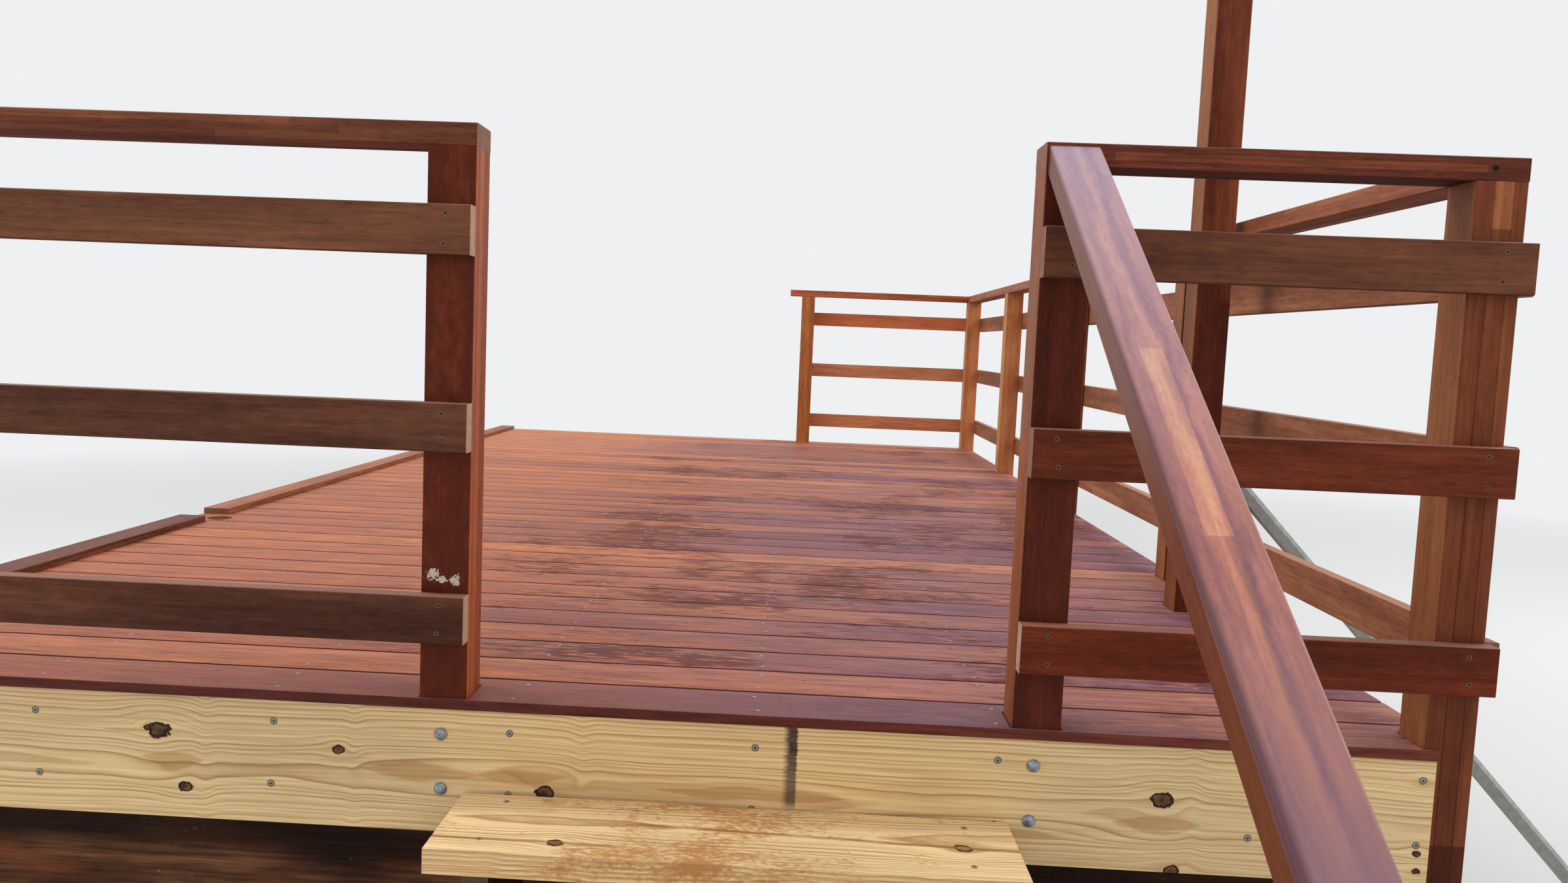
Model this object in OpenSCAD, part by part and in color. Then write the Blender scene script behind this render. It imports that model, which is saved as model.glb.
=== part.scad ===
// Raised timber deck with post-and-rail balustrades and an entry stair with one handrail.
// Millimetres, +Z up, ground at Z = 0. The front is -Y, where the stair comes up, and the
// house wall, which is not part of the model, stands along the -X side.
// Plan sizes are measured from the stair's centreline and from the front face of the front rim.

/* [Deck] */
// Height of one step, from tread to tread and from ground to the first tread
riser = 178; // [150:1:190]
// From the front face of the front rim to the back face of the far rim
deck_l = 6008; // [5000:1:8000]
// From the stair's centreline to the house wall
wall_side = 2018; // [1700:1:2600]
// Clear width between the stair post and the corner post
right_bay = 658; // [450:1:1000]
// Clear width between the two posts at the head of the stair
opening_w = 1020; // [850:1:1300]

/* [Decking boards] */
// Width of one board
board_w = 140; // [85:1:185]
// Thickness of one board
board_t = 20; // [18:1:25]
// Gap between boards
board_gap = 7; // [3:1:10]
// Board edge past the face of the front and far rims
board_over = 6; // [0:1:20]
// Board ends past the outer face of the side joist
board_side_over = 43; // [20:1:60]
// Gap round a post where the boards are cut to pass it
cut_gap = 3; // [1:1:6]
// Width of the trim strip along the house wall
trim_w = 90; // [60:1:140]
// Thickness of that trim strip
trim_t = 20; // [12:1:30]
// From the front rim to the gap in the trim strip where a pipe came up
trim_break = 1730; // [1000:1:3000]
// Length of that gap
trim_break_l = 160; // [120:1:200]
// Hole through the decking for that pipe
pipe_hole_d = 80; // [60:1:110]
// Centre of that hole from the house wall
pipe_wall = 100; // [70:1:140]

/* [Frame] */
// Thickness of rims, joists, stringers and treads
plank_t = 45; // [35:1:50]
// Height of the front rim, the far rim and the side joist
rim_h = 240; // [215:1:260]
// Height of the joists and of the joist on the house wall
joist_h = 190; // [140:1:190]
// Joist spacing, centre to centre
joist_pitch = 458; // [400:1:600]
// First joist inside the side joist, from the stair's centreline
joist_first = 951; // [900:1:960]
// Height of the old hardwood bearers
bearer_h = 275; // [150:1:300]
// Thickness of the old hardwood bearers
bearer_t = 70; // [45:1:100]
// From the front rim to the front face of the first bearer
bearer_back = 120; // [100:1:150]
// Number of bearers under the joists
bearer_count = 4; // [3:1:4]
// Side of the square stumps under the bearers
stump_w = 100; // [75:1:125]
// Number of stumps under each bearer
stump_count = 3; // [2:1:5]

/* [Balustrade] */
// Side of the square posts
post_w = 90; // [85:1:115]
// Deck surface to the underside of the top rail
post_rise = 1023; // [960:1:1100]
// How far the inner side of a side post stands in over the side joist
post_lap = 25; // [10:1:40]
// Width of the rails
rail_w = 90; // [65:1:110]
// Thickness of the rails on the outer faces of the posts
rail_t = 33; // [19:1:45]
// Thickness of the top rails and of the handrail
top_rail_t = 42; // [30:1:45]
// Deck surface to the underside of the lowest rail
rail_low = 111; // [80:1:125]
// Rail spacing, bottom to bottom
rail_pitch = 357; // [330:1:370]
// Right rails past the outer face of the corner post
rail_over = 7; // [0:1:20]
// Front ends of the side rails back from the front face of the corner post
side_rail_back = 12; // [0:1:40]
// Clear length of the bay at the far end
far_bay = 1065; // [700:1:1500]
// Top rail of the far end past its free post
far_top_over = 82; // [0:1:200]
// Width of the top rails and of the handrail
top_rail_w = 90; // [85:1:120]
// Rounding of the long edges of rails and posts
arris = 3; // [1:0.5:6]

/* [Stair] */
// Front to back, from tread to tread
going = 256; // [240:1:300]
// Depth of one tread
tread_d = 240; // [190:1:250]
// Gap between the front rim and the top tread
tread_gap = 6; // [0:1:10]
// Tread past the outer face of each stringer
tread_side = 64; // [0:1:120]
// Front edge of a tread past the step of the stringer
nosing = 15; // [5:1:30]
// Timber left under the inner corners of a stringer, square to its slope
throat = 120; // [90:1:150]

/* [Handrail and tall post] */
// Front edge of the lowest tread to the back face of the foot post
foot_post_ahead = 85; // [80:1:300]
// Handrail past the foot post
handrail_over = 60; // [0:1:150]
// Middle of the handrail to the right of the middle of the stair post
handrail_side = 4; // [0:1:12]
// Top of the handrail below the top of the top rail, at the stair post
handrail_drop = 7; // [0:1:12]
// Deck surface to the top of the tall post
tall_rise = 2300; // [1900:1:2600]
// Front rim to the front face of the tall post
tall_back = 1047; // [300:1:1300]
// Side of the square steel tube of the brace
brace_w = 35; // [25:1:50]
// Deck surface to the upper edge of the brace on the tall post
brace_up = 457; // [430:1:480]
// Slope of the brace from the ground
brace_angle = 47; // [45:1:50]

/* [Hidden] */
$fn = 32;

hardwood = [0.55, 0.27, 0.18];
dark_hardwood = [0.30, 0.19, 0.14];
pine = [0.80, 0.68, 0.42];
galvanised = [0.55, 0.57, 0.58];

// Steps from the ground to the deck, and bays of the side balustrade
riser_count = 5;
side_bays = 4;

// Heights
deck_h = riser * riser_count;
frame_top = deck_h - board_t;
rim_bottom = frame_top - rim_h;
joist_bottom = frame_top - joist_h;
bearer_bottom = joist_bottom - bearer_h;
post_top = deck_h + post_rise;
top_rail_top = post_top + top_rail_t;

// Plan, across the deck
left_post_x = -opening_w / 2 - post_w;
stair_post_x = opening_w / 2;
corner_x = stair_post_x + post_w + right_bay;
post_out = corner_x + post_w;
side_face = corner_x + post_lap;
side_inner = side_face - plank_t;
deck_right = side_face + board_side_over;
wall_x = -wall_side;
far_post_x = corner_x - far_bay - post_w;
tall_post_x = side_inner - post_w;

// Plan, along the deck
far_post_y = deck_l - post_w;
side_post_pitch = far_post_y / side_bays;
joist_l = deck_l - 2 * plank_t;
bearer_pitch = (deck_l - 2 * bearer_back - bearer_t) / (bearer_count - 1);
// Outer stumps stand in from the ends of a bearer by this much
stump_side = 100;
stump_pitch = (side_inner - wall_x - 2 * stump_side - stump_w) / (stump_count - 1);

// Decking: whole boards, with the last one cut to the edge
board_pitch = board_w + board_gap;
deck_back = deck_l + board_over;
board_count = floor((deck_back + board_over - 1) / board_pitch) + 1;

// Rounding of the edges of boards, treads and trim
edge_round = 2;

// How far a cutting shape goes past the timber, so that no skin is left
past = 1;

// Stair: seat is the top of a stringer's step, under its tread
tread_count = riser_count - 1;
slope = riser / going;
pitch_angle = atan(slope);
function tread_front(k) = -tread_gap - tread_d - (k - 1) * going;
function seat_z(k) = deck_h - k * riser - plank_t;
function step_y(k) = tread_front(k) + nosing;
function stringer_under(y) = seat_z(2) + (y - step_y(1)) * slope - throat / cos(pitch_angle);
stringer_heel = step_y(1) - stringer_under(step_y(1)) / slope;

// Handrail: its top falls with the stair from the head post
foot_post_y = tread_front(tread_count) - foot_post_ahead - post_w;
handrail_end = foot_post_y - handrail_over;
function handrail_top(y) = top_rail_top - handrail_drop + y * slope;
handrail_plumb = top_rail_t / cos(pitch_angle);
handrail_x = stair_post_x + (post_w - top_rail_w) / 2 + handrail_side;

// Brace: from the tall post to the ground, square to the side
brace_foot = side_inner + (deck_h + brace_up) / tan(brace_angle);
brace_plumb = brace_w / cos(brace_angle);
brace_flat = brace_w / sin(brace_angle);

// The origin is on the ground, in the middle of the model's outline seen from above
mid_x = (wall_x + brace_foot) / 2;
mid_y = (handrail_end + deck_l + rail_t) / 2;

// Room cut in the boards for each post, as [x from, x to, y from, y to]
side_cuts = [
    for (k = [1 : side_bays - 1])
        let (y = k * side_post_pitch)
        [corner_x - cut_gap, deck_right + past, y - cut_gap, y + post_w + cut_gap]
];
post_cuts = concat(side_cuts, [
    [wall_x - past, wall_x + post_w + cut_gap, 0, post_w + cut_gap],
    [left_post_x - cut_gap, left_post_x + post_w + cut_gap, 0, post_w + cut_gap],
    [stair_post_x - cut_gap, stair_post_x + post_w + cut_gap, 0, post_w + cut_gap],
    [corner_x - cut_gap, deck_right + past, 0, post_w + cut_gap],
    [side_face, deck_right + past, -board_over - past, post_w],
    [corner_x - cut_gap, deck_right + past, far_post_y - cut_gap, deck_l],
    [side_face, deck_right + past, far_post_y, deck_back + past],
    [far_post_x - cut_gap, far_post_x + post_w + cut_gap, far_post_y - cut_gap, deck_l],
    [tall_post_x - cut_gap, tall_post_x + post_w + cut_gap, tall_back - cut_gap, tall_back + post_w + cut_gap]
]);

// Posts whose tails stand between the joists, as [x from, x to]
post_tails = [
    [left_post_x, left_post_x + post_w],
    [stair_post_x, stair_post_x + post_w],
    [far_post_x, far_post_x + post_w],
    [tall_post_x, tall_post_x + post_w]
];

// A joist that would meet a post's tail stands just left of it
function beside_tails(x, i = 0) =
    i == len(post_tails) ? x
    : x + plank_t > post_tails[i][0] && x < post_tails[i][1] ? post_tails[i][0] - plank_t - cut_gap
    : beside_tails(x, i + 1);
joist_places = [
    for (x = joist_first - plank_t / 2; x > wall_x + post_w + cut_gap; x = x - joist_pitch) beside_tails(x)
];

// Rectangle with its four corners rounded
module rounded(w, h, r) {
    translate([r, 0]) square([w - 2 * r, h]);
    translate([0, r]) square([w, h - 2 * r]);
    for (x = [r, w - r]) {
        for (y = [r, h - r]) translate([x, y]) circle(r);
    }
}

// Timber along X, w deep in Y and h high
module timber_x(l, w, h, r) {
    rotate([90, 0, 90]) linear_extrude(l) rounded(w, h, r);
}

// Timber along Y, w wide in X and h high
module timber_y(l, w, h, r) {
    translate([0, l, 0]) rotate([90, 0, 0]) linear_extrude(l) rounded(w, h, r);
}

// Upright post with rounded arrises
module post(h) {
    linear_extrude(h) rounded(post_w, post_w, arris);
}

// Puts the plan's frame, with the ground at Z = 0, round the model's origin
module place() {
    translate([-mid_x, -mid_y, 0]) children();
}

module deck_board(y) {
    w = min(board_w, deck_back - y);
    difference() {
        translate([wall_x, y, frame_top]) timber_x(deck_right - wall_x, w, board_t, edge_round);
        for (c = post_cuts) {
            if (c[3] > y && c[2] < y + w) {
                translate([c[0], c[2], frame_top - past]) {
                    cube([c[1] - c[0], c[3] - c[2], board_t + 2 * past]);
                }
            }
        }
        translate([wall_x + pipe_wall, trim_break + trim_break_l / 2, frame_top - past]) {
            cylinder(h = board_t + 2 * past, d = pipe_hole_d);
        }
    }
}

module decking() {
    color(hardwood) place() {
        for (i = [0 : board_count - 1]) deck_board(i * board_pitch - board_over);
    }
}

module wall_trim() {
    far_start = trim_break + trim_break_l;
    color(hardwood) place() {
        translate([wall_x, post_w, deck_h]) timber_y(trim_break - post_w, trim_w, trim_t, edge_round);
        translate([wall_x, far_start, deck_h]) timber_y(deck_l - far_start, trim_w, trim_t, edge_round);
    }
}

module rim(y) {
    translate([wall_x, y, rim_bottom]) cube([side_face - wall_x, plank_t, rim_h]);
}

module front_rim() {
    color(pine) place() rim(0);
}

module far_rim() {
    color(pine) place() rim(deck_l - plank_t);
}

module joist(x, h) {
    translate([x, plank_t, frame_top - h]) cube([plank_t, joist_l, h]);
}

module side_joist() {
    color(pine) place() joist(side_inner, rim_h);
}

module wall_joist() {
    color(pine) place() joist(wall_x, joist_h);
}

module joists() {
    color(pine) place() {
        for (x = joist_places) joist(x, joist_h);
    }
}

module bearers() {
    color(dark_hardwood) place() {
        for (i = [0 : bearer_count - 1]) {
            translate([wall_x, bearer_back + i * bearer_pitch, bearer_bottom]) {
                cube([side_inner - wall_x, bearer_t, bearer_h]);
            }
        }
    }
}

module stumps() {
    color(dark_hardwood) place() {
        for (i = [0 : bearer_count - 1], j = [0 : stump_count - 1]) {
            x = wall_x + stump_side + j * stump_pitch;
            y = bearer_back + i * bearer_pitch + (bearer_t - stump_w) / 2;
            translate([x, y, 0]) cube([stump_w, stump_w, bearer_bottom]);
        }
    }
}

// Post checked out over a rim, with a tail that is bolted to the rim's inner face
module rim_post(x, y, rim_y) {
    difference() {
        translate([x, y, rim_bottom]) post(post_top - rim_bottom);
        translate([x - past, rim_y, rim_bottom - past]) cube([post_w + 2 * past, plank_t, rim_h + past]);
    }
}

// Post down to the ground, checked out over the side joist or the end of a rim
module ground_post(y) {
    difference() {
        translate([corner_x, y, 0]) post(post_top);
        translate([corner_x - past, y - past, -past]) {
            cube([post_lap + past, post_w + 2 * past, frame_top + past]);
        }
    }
}

module wall_post() {
    color(hardwood) place() difference() {
        rim_post(wall_x, 0, 0);
        translate([wall_x - past, -past, rim_bottom - past]) {
            cube([plank_t + past, post_w + 2 * past, rim_h + past]);
        }
    }
}

module left_post() {
    color(hardwood) place() rim_post(left_post_x, 0, 0);
}

module stair_post() {
    color(hardwood) place() rim_post(stair_post_x, 0, 0);
}

module far_post() {
    color(hardwood) place() rim_post(far_post_x, far_post_y, deck_l - plank_t);
}

module corner_post() {
    color(hardwood) place() ground_post(0);
}

module side_post(k) {
    color(hardwood) place() ground_post(k * side_post_pitch);
}

module far_corner_post() {
    color(hardwood) place() ground_post(far_post_y);
}

module tall_post() {
    color(hardwood) place() translate([tall_post_x, tall_back, 0]) post(deck_h + tall_rise);
}

// Bottom of rail number i, counted from the deck
function rail_z(i) = deck_h + rail_low + (i - 1) * rail_pitch;

module left_rail(i) {
    color(hardwood) place() translate([wall_x, -rail_t, rail_z(i)]) {
        timber_x(left_post_x + post_w - wall_x, rail_t, rail_w, arris);
    }
}

module right_rail(i) {
    color(hardwood) place() translate([stair_post_x, -rail_t, rail_z(i)]) {
        timber_x(post_out + rail_over - stair_post_x, rail_t, rail_w, arris);
    }
}

module side_rail(i) {
    color(hardwood) place() translate([post_out, side_rail_back, rail_z(i)]) {
        timber_y(deck_l - side_rail_back, rail_t, rail_w, arris);
    }
}

module far_rail(i) {
    color(hardwood) place() translate([far_post_x, deck_l, rail_z(i)]) {
        timber_x(post_out - far_post_x, rail_t, rail_w, arris);
    }
}

// Top rail along X on posts whose faces start at y
module top_rail_x(x, y, l) {
    translate([x, y + (post_w - top_rail_w) / 2, post_top]) timber_x(l, top_rail_w, top_rail_t, arris);
}

module left_top_rail() {
    color(hardwood) place() top_rail_x(wall_x, 0, left_post_x + post_w - wall_x);
}

module right_top_rail() {
    color(hardwood) place() top_rail_x(stair_post_x, 0, post_out - stair_post_x);
}

module side_top_rail() {
    front = (post_w + top_rail_w) / 2;
    color(hardwood) place() translate([corner_x + (post_w - top_rail_w) / 2, front, post_top]) {
        timber_y(deck_l - front, top_rail_w, top_rail_t, arris);
    }
}

module far_top_rail() {
    end = corner_x + (post_w - top_rail_w) / 2;
    start = far_post_x - far_top_over;
    color(hardwood) place() top_rail_x(start, far_post_y, end - start);
}

module tread(k) {
    color(pine) place() translate([-opening_w / 2, tread_front(k), seat_z(k)]) {
        timber_x(opening_w, tread_d, plank_t, edge_round);
    }
}

// Stepped stringer, with a tail under the rim that meets the first bearer
module stringer(x) {
    steps = [
        for (k = [1 : tread_count], low = [0, 1])
            [step_y(k), low == 0 ? seat_z(k) : k == tread_count ? 0 : seat_z(k + 1)]
    ];
    tail_top = min(seat_z(1), rim_bottom);
    tail = [
        [stringer_heel, 0],
        [bearer_back, stringer_under(bearer_back)],
        [bearer_back, tail_top],
        [0, tail_top]
    ];
    translate([x, 0, 0]) rotate([90, 0, 90]) linear_extrude(plank_t) {
        polygon(concat([[0, seat_z(1)]], steps, tail));
    }
}

module stringer_left() {
    color(dark_hardwood) place() stringer(-opening_w / 2 + tread_side);
}

module stringer_right() {
    color(dark_hardwood) place() stringer(opening_w / 2 - tread_side - plank_t);
}

// Everything below the handrail, between two places in front of the deck
module under_handrail(y_from, y_to) {
    top = handrail_top(y_to) - handrail_plumb;
    translate([stair_post_x - past, 0, 0]) rotate([90, 0, 90]) linear_extrude(post_w + 2 * past) {
        polygon([[y_from, 0], [y_to, 0], [y_to, top], [y_from, top - (y_to - y_from) * slope]]);
    }
}

module foot_post() {
    color(hardwood) place() intersection() {
        translate([stair_post_x, foot_post_y, 0]) post(handrail_top(foot_post_y + post_w));
        under_handrail(foot_post_y - past, foot_post_y + post_w + past);
    }
}

// Flat timber down the slope of the stair, cut plumb at both ends
module handrail() {
    run = -handrail_end / cos(pitch_angle);
    color(hardwood) place() intersection() {
        translate([handrail_x, 0, handrail_top(0)]) rotate([pitch_angle, 0, 0]) {
            translate([0, -run - top_rail_t, -top_rail_t]) {
                timber_y(run + 2 * top_rail_t, top_rail_w, top_rail_t, arris);
            }
        }
        translate([handrail_x - past, handrail_end, 0]) {
            cube([top_rail_w + 2 * past, -handrail_end, top_rail_top]);
        }
    }
}

module steel_brace() {
    color(galvanised) place() translate([0, tall_back + (post_w + brace_w) / 2, 0]) rotate([90, 0, 0]) {
        linear_extrude(brace_w) polygon([
            [side_inner, deck_h + brace_up],
            [side_inner, deck_h + brace_up - brace_plumb],
            [brace_foot - brace_flat, 0],
            [brace_foot, 0]
        ]);
    }
}

decking();
wall_trim();
front_rim();
far_rim();
side_joist();
wall_joist();
joists();
bearers();
stumps();
wall_post();
left_post();
stair_post();
corner_post();
side_post(1);  // side_post_1
side_post(2);  // side_post_2
side_post(3);  // side_post_3
far_corner_post();
far_post();
tall_post();
left_rail(1);  // left_rail_1
left_rail(2);  // left_rail_2
left_rail(3);  // left_rail_3
left_top_rail();
right_rail(1);  // right_rail_1
right_rail(2);  // right_rail_2
right_rail(3);  // right_rail_3
right_top_rail();
side_rail(1);  // side_rail_1
side_rail(2);  // side_rail_2
side_rail(3);  // side_rail_3
side_top_rail();
far_rail(1);  // far_rail_1
far_rail(2);  // far_rail_2
far_rail(3);  // far_rail_3
far_top_rail();
tread(1);  // tread_1
tread(2);  // tread_2
tread(3);  // tread_3
tread(4);  // tread_4
stringer_left();
stringer_right();
foot_post();
handrail();
steel_brace();
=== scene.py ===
# %% [markdown]
# # A raised timber deck with its balustrades and its entry stair
# The solids of every board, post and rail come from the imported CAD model. They have the right
# sizes and no looks yet. This lesson gives each kind of timber its grain, lays the boards of the
# deck, drives the screws and bolts, and lights the whole for the camera.

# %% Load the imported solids
import math
import random

import bmesh
import bpy
from mathutils import Matrix, Vector


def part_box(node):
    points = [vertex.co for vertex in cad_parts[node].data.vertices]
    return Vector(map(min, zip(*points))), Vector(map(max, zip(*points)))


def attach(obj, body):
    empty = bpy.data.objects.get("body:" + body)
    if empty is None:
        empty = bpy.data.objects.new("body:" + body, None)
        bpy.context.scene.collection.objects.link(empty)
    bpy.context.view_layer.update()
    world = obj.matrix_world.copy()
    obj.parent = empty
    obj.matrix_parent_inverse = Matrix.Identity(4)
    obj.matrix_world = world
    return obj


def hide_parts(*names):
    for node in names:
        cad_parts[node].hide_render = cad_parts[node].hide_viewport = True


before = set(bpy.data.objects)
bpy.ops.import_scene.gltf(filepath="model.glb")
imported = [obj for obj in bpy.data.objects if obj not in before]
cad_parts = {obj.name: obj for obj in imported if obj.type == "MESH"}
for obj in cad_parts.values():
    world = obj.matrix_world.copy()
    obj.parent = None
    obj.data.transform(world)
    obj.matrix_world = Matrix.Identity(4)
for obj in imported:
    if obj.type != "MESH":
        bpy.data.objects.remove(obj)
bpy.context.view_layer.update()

# %% [markdown]
# ## Places to measure from
# The screws, the cuts in the boards and the marks in the timber are counted from the solids
# themselves, so that they stay on their timber when a size changes.

# %% Measure the deck
deck_low, deck_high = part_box("decking")
rim_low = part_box("front_rim")[0]
deck_top = deck_high.z
rim_face = rim_low.y
stair_mid = (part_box("left_post")[1].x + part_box("stair_post")[0].x) / 2
print("deck top", round(deck_top, 3), "rim face", round(rim_face, 3), "stair centre", round(stair_mid, 4))

# %% [markdown]
# ## Small helpers for every node tree
# Materials and Geometry Nodes are both trees of nodes. One function adds a node, sets it up and
# plugs in what feeds it. A number that nodes work out can stand in plain arithmetic, and each
# sum adds the node that does it. So a finish below reads like a list of steps, which it would
# not if every node and link had a line of its own.

# %% Helpers: nodes, and the sums between them
def feed(tree, node, feeds):
    """Gives a node's inputs, by name or number, a value or what another node works out."""
    for name, value in feeds.items():
        value = value.socket if isinstance(value, Value) else value
        if isinstance(value, bpy.types.NodeSocket):
            tree.links.new(value, node.inputs[name])
        else:
            node.inputs[name].default_value = value


def put(tree, kind, feeds=None, **settings):
    """Adds a node to a tree, sets it up and feeds it."""
    added = tree.nodes.new(kind)
    for name, value in settings.items():
        setattr(added, name, value)
    feed(tree, added, feeds or {})
    return added


def out(tree, kind, feeds=None, **settings):
    """Adds a node and hands back its first output."""
    return put(tree, kind, feeds, **settings).outputs[0]


class Value:
    """A number that nodes work out. Arithmetic on it adds the nodes that do the sum."""

    def __init__(self, tree, socket):
        self.tree, self.socket = tree, socket

    def math(self, job, *others):
        feeds = dict(enumerate((self, *others)))
        return Value(self.tree, out(self.tree, "ShaderNodeMath", feeds, operation=job))

    def spread(self, low, high, out_low=0.0, out_high=1.0):
        """Stretches what lies between low and high to out_low and out_high, and stops there."""
        feeds = {"Value": self, "From Min": low, "From Max": high, "To Min": out_low, "To Max": out_high}
        return Value(self.tree, out(self.tree, "ShaderNodeMapRange", feeds, clamp=True))

    def between(self, low, high, soft):
        """1 from low to high and 0 outside, with soft edges."""
        return self.spread(low - soft, low + soft) * self.spread(high + soft, high - soft)

    def __add__(self, other):
        return self.math("ADD", other)

    def __sub__(self, other):
        return self.math("SUBTRACT", other)

    def __rsub__(self, other):
        return self * -1 + other

    def __mul__(self, other):
        return self.math("MULTIPLY", other)

    def __truediv__(self, other):
        return self.math("DIVIDE", other)

    def __floordiv__(self, other):
        return (self / other).math("FLOOR")

    def __pow__(self, other):
        return self.math("POWER", other)

    def __abs__(self):
        return self.math("ABSOLUTE")


def oval(side, wide, rise, high):
    """How far a place lies from a mark's middle, squared: 1 on the edge of the mark's oval."""
    return (side / wide) ** 2 + (rise / high) ** 2


def bell(squared):
    """1 in the middle of a mark, and softly down to nothing further out."""
    return (squared * -1).math("EXPONENT")


def shaded(colour, by):
    """The same colour, darker below 1 and brighter above."""
    return tuple(by * c for c in colour)


print("node helpers ready")

# %% [markdown]
# ## One short word for each step of a finish
# Every finish here is built of the same few steps: read a place, lay noise over it, turn it into
# a mask, and mix colours by that mask. Each step gets a short name. All patterns are worked out
# from places on the timber. A picture of wood would be quicker, but it would repeat from stick
# to stick and blur close up.

# %% Helper: a material under construction
class Finish:
    """A material under construction, with one short method for each kind of step."""
    made = []

    def __init__(self, name):
        self.material = bpy.data.materials.new(name)
        self.material.use_nodes = True
        self.tree = self.material.node_tree
        self.tree.nodes.clear()
        self.skin = put(self.tree, "ShaderNodeBsdfPrincipled")
        self.end = put(self.tree, "ShaderNodeOutputMaterial", {"Surface": self.skin.outputs[0]})
        self.colour = None
        self.made.append(name)

    def spot(self):
        """The place on the object, in metres."""
        return put(self.tree, "ShaderNodeTexCoord").outputs["Object"]

    def number(self, name):
        """A number that the stick carries: its tone, how red it is, or its seed."""
        return Value(self.tree, put(self.tree, "ShaderNodeAttribute", attribute_name=name).outputs["Fac"])

    def grain(self):
        """The place in the stick, along, across and through it from its corner."""
        return put(self.tree, "ShaderNodeAttribute", attribute_name="grain").outputs["Vector"]

    def own_grain(self):
        """The same place, shifted by the stick's seed, so that no two sticks look alike."""
        feeds = {0: (7.13, 3.37, 5.71), "Scale": self.number("seed")}
        shift = out(self.tree, "ShaderNodeVectorMath", feeds, operation="SCALE")
        return out(self.tree, "ShaderNodeVectorMath", {0: self.grain(), 1: shift}, operation="ADD")

    def upward(self):
        """1 on a face that looks up, 0 on an upright one and -1 on an underside."""
        return self.parts(put(self.tree, "ShaderNodeNewGeometry").outputs["True Normal"])[2]

    def parts(self, place):
        split = put(self.tree, "ShaderNodeSeparateXYZ", {0: place})
        return [Value(self.tree, part) for part in split.outputs]

    def join(self, x, y, z):
        return out(self.tree, "ShaderNodeCombineXYZ", {0: x, 1: y, 2: z})

    def noise(self, place, size, detail=3, rough=0.5, bend=0.0):
        """Soft noise. size is how many waves fit in a metre, as one number or one for each axis."""
        if isinstance(size, tuple):
            place = out(self.tree, "ShaderNodeVectorMath", {0: place, 1: size}, operation="MULTIPLY")
            size = 1
        feeds = {"Vector": place, "Scale": size, "Detail": detail, "Roughness": rough, "Distortion": bend}
        return Value(self.tree, out(self.tree, "ShaderNodeTexNoise", feeds))

    def chance(self, x, y, z):
        """A number from 0 to 1 by chance, the same wherever x, y and z are the same."""
        feeds = {"Vector": self.join(x, y, z)}
        added = put(self.tree, "ShaderNodeTexWhiteNoise", feeds, noise_dimensions="3D")
        return Value(self.tree, added.outputs["Value"])

    def length(self, job, feeds):
        """A number worked out from places, such as how far away one is."""
        return Value(self.tree, put(self.tree, "ShaderNodeVectorMath", feeds, operation=job).outputs["Value"])

    def ramp(self, value, stops):
        added = put(self.tree, "ShaderNodeValToRGB", {"Fac": value})
        while len(added.color_ramp.elements) < len(stops):
            added.color_ramp.elements.new(0.5)
        for element, (place, colour) in zip(added.color_ramp.elements, stops):
            element.position = place
            element.color = (*colour, 1)
        return added.outputs[0]

    def mix(self, share, a, b, how="MIX"):
        a = (*a, 1) if isinstance(a, tuple) else a
        b = (*b, 1) if isinstance(b, tuple) else b
        feeds = {0: share, 6: a, 7: b}
        return put(self.tree, "ShaderNodeMix", feeds, data_type="RGBA", blend_type=how).outputs[2]

    def product(self, a, b):
        """A colour multiplied by another one, or by a number."""
        b = self.join(b, b, b) if isinstance(b, Value) else b
        return self.mix(1.0, a, b, "MULTIPLY")

    def over(self, share, colour):
        """Lays a colour over what is there, where the share says."""
        self.colour = self.mix(share, self.colour, colour)

    def times(self, by):
        self.colour = self.product(self.colour, by)

    def tint(self, share, by):
        """Multiplies the colour that is there, where the share says."""
        self.over(share, self.product(self.colour, by))

    def dress(self, rough, height=None, strength=0.2, depth=0.001, specular=0.5, metallic=0.0):
        """Ends the tree: nodes give the colour and the bump, and the last two are fixed values."""
        feed(self.tree, self.skin, {"Base Color": self.colour, "Roughness": rough,
                                    "Specular IOR Level": specular, "Metallic": metallic})
        if height is not None:
            feeds = {"Strength": strength, "Distance": depth, "Height": height}
            feed(self.tree, self.skin, {"Normal": out(self.tree, "ShaderNodeBump", feeds)})
        return self.material


print("finish helper ready")

# %% [markdown]
# ## Grain that follows each stick of timber
# On a real deck every piece is cut from its own length of tree, with the grain along it. So each
# stick gets numbers of its own on its vertices: its place along, across and through the timber,
# a tone, how red it is and a seed. A pattern on these follows the stick whichever way it lies.
# Another way is a material for each piece, but more than forty would say much the same thing.

# %% Helper: a dressed copy of a CAD piece
dice = random.Random(7)


def loose_parts(mesh):
    """The separate solids of a bmesh, each as a list of its vertices."""
    left, parts = set(mesh.verts), []
    while left:
        part, edge = [], [left.pop()]
        while edge:
            vertex = edge.pop()
            part.append(vertex)
            for link in vertex.link_edges:
                other = link.other_vert(vertex)
                if other in left:
                    left.discard(other)
                    edge.append(other)
        parts.append(part)
    return sorted(parts, key=lambda part: min(tuple(v.co) for v in part))


def merged(node):
    """A closed bmesh of a CAD piece, whose own mesh is loose triangles."""
    mesh = bmesh.new()
    mesh.from_mesh(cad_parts[node].data)
    bmesh.ops.remove_doubles(mesh, verts=mesh.verts, dist=1e-5)
    return mesh


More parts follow.
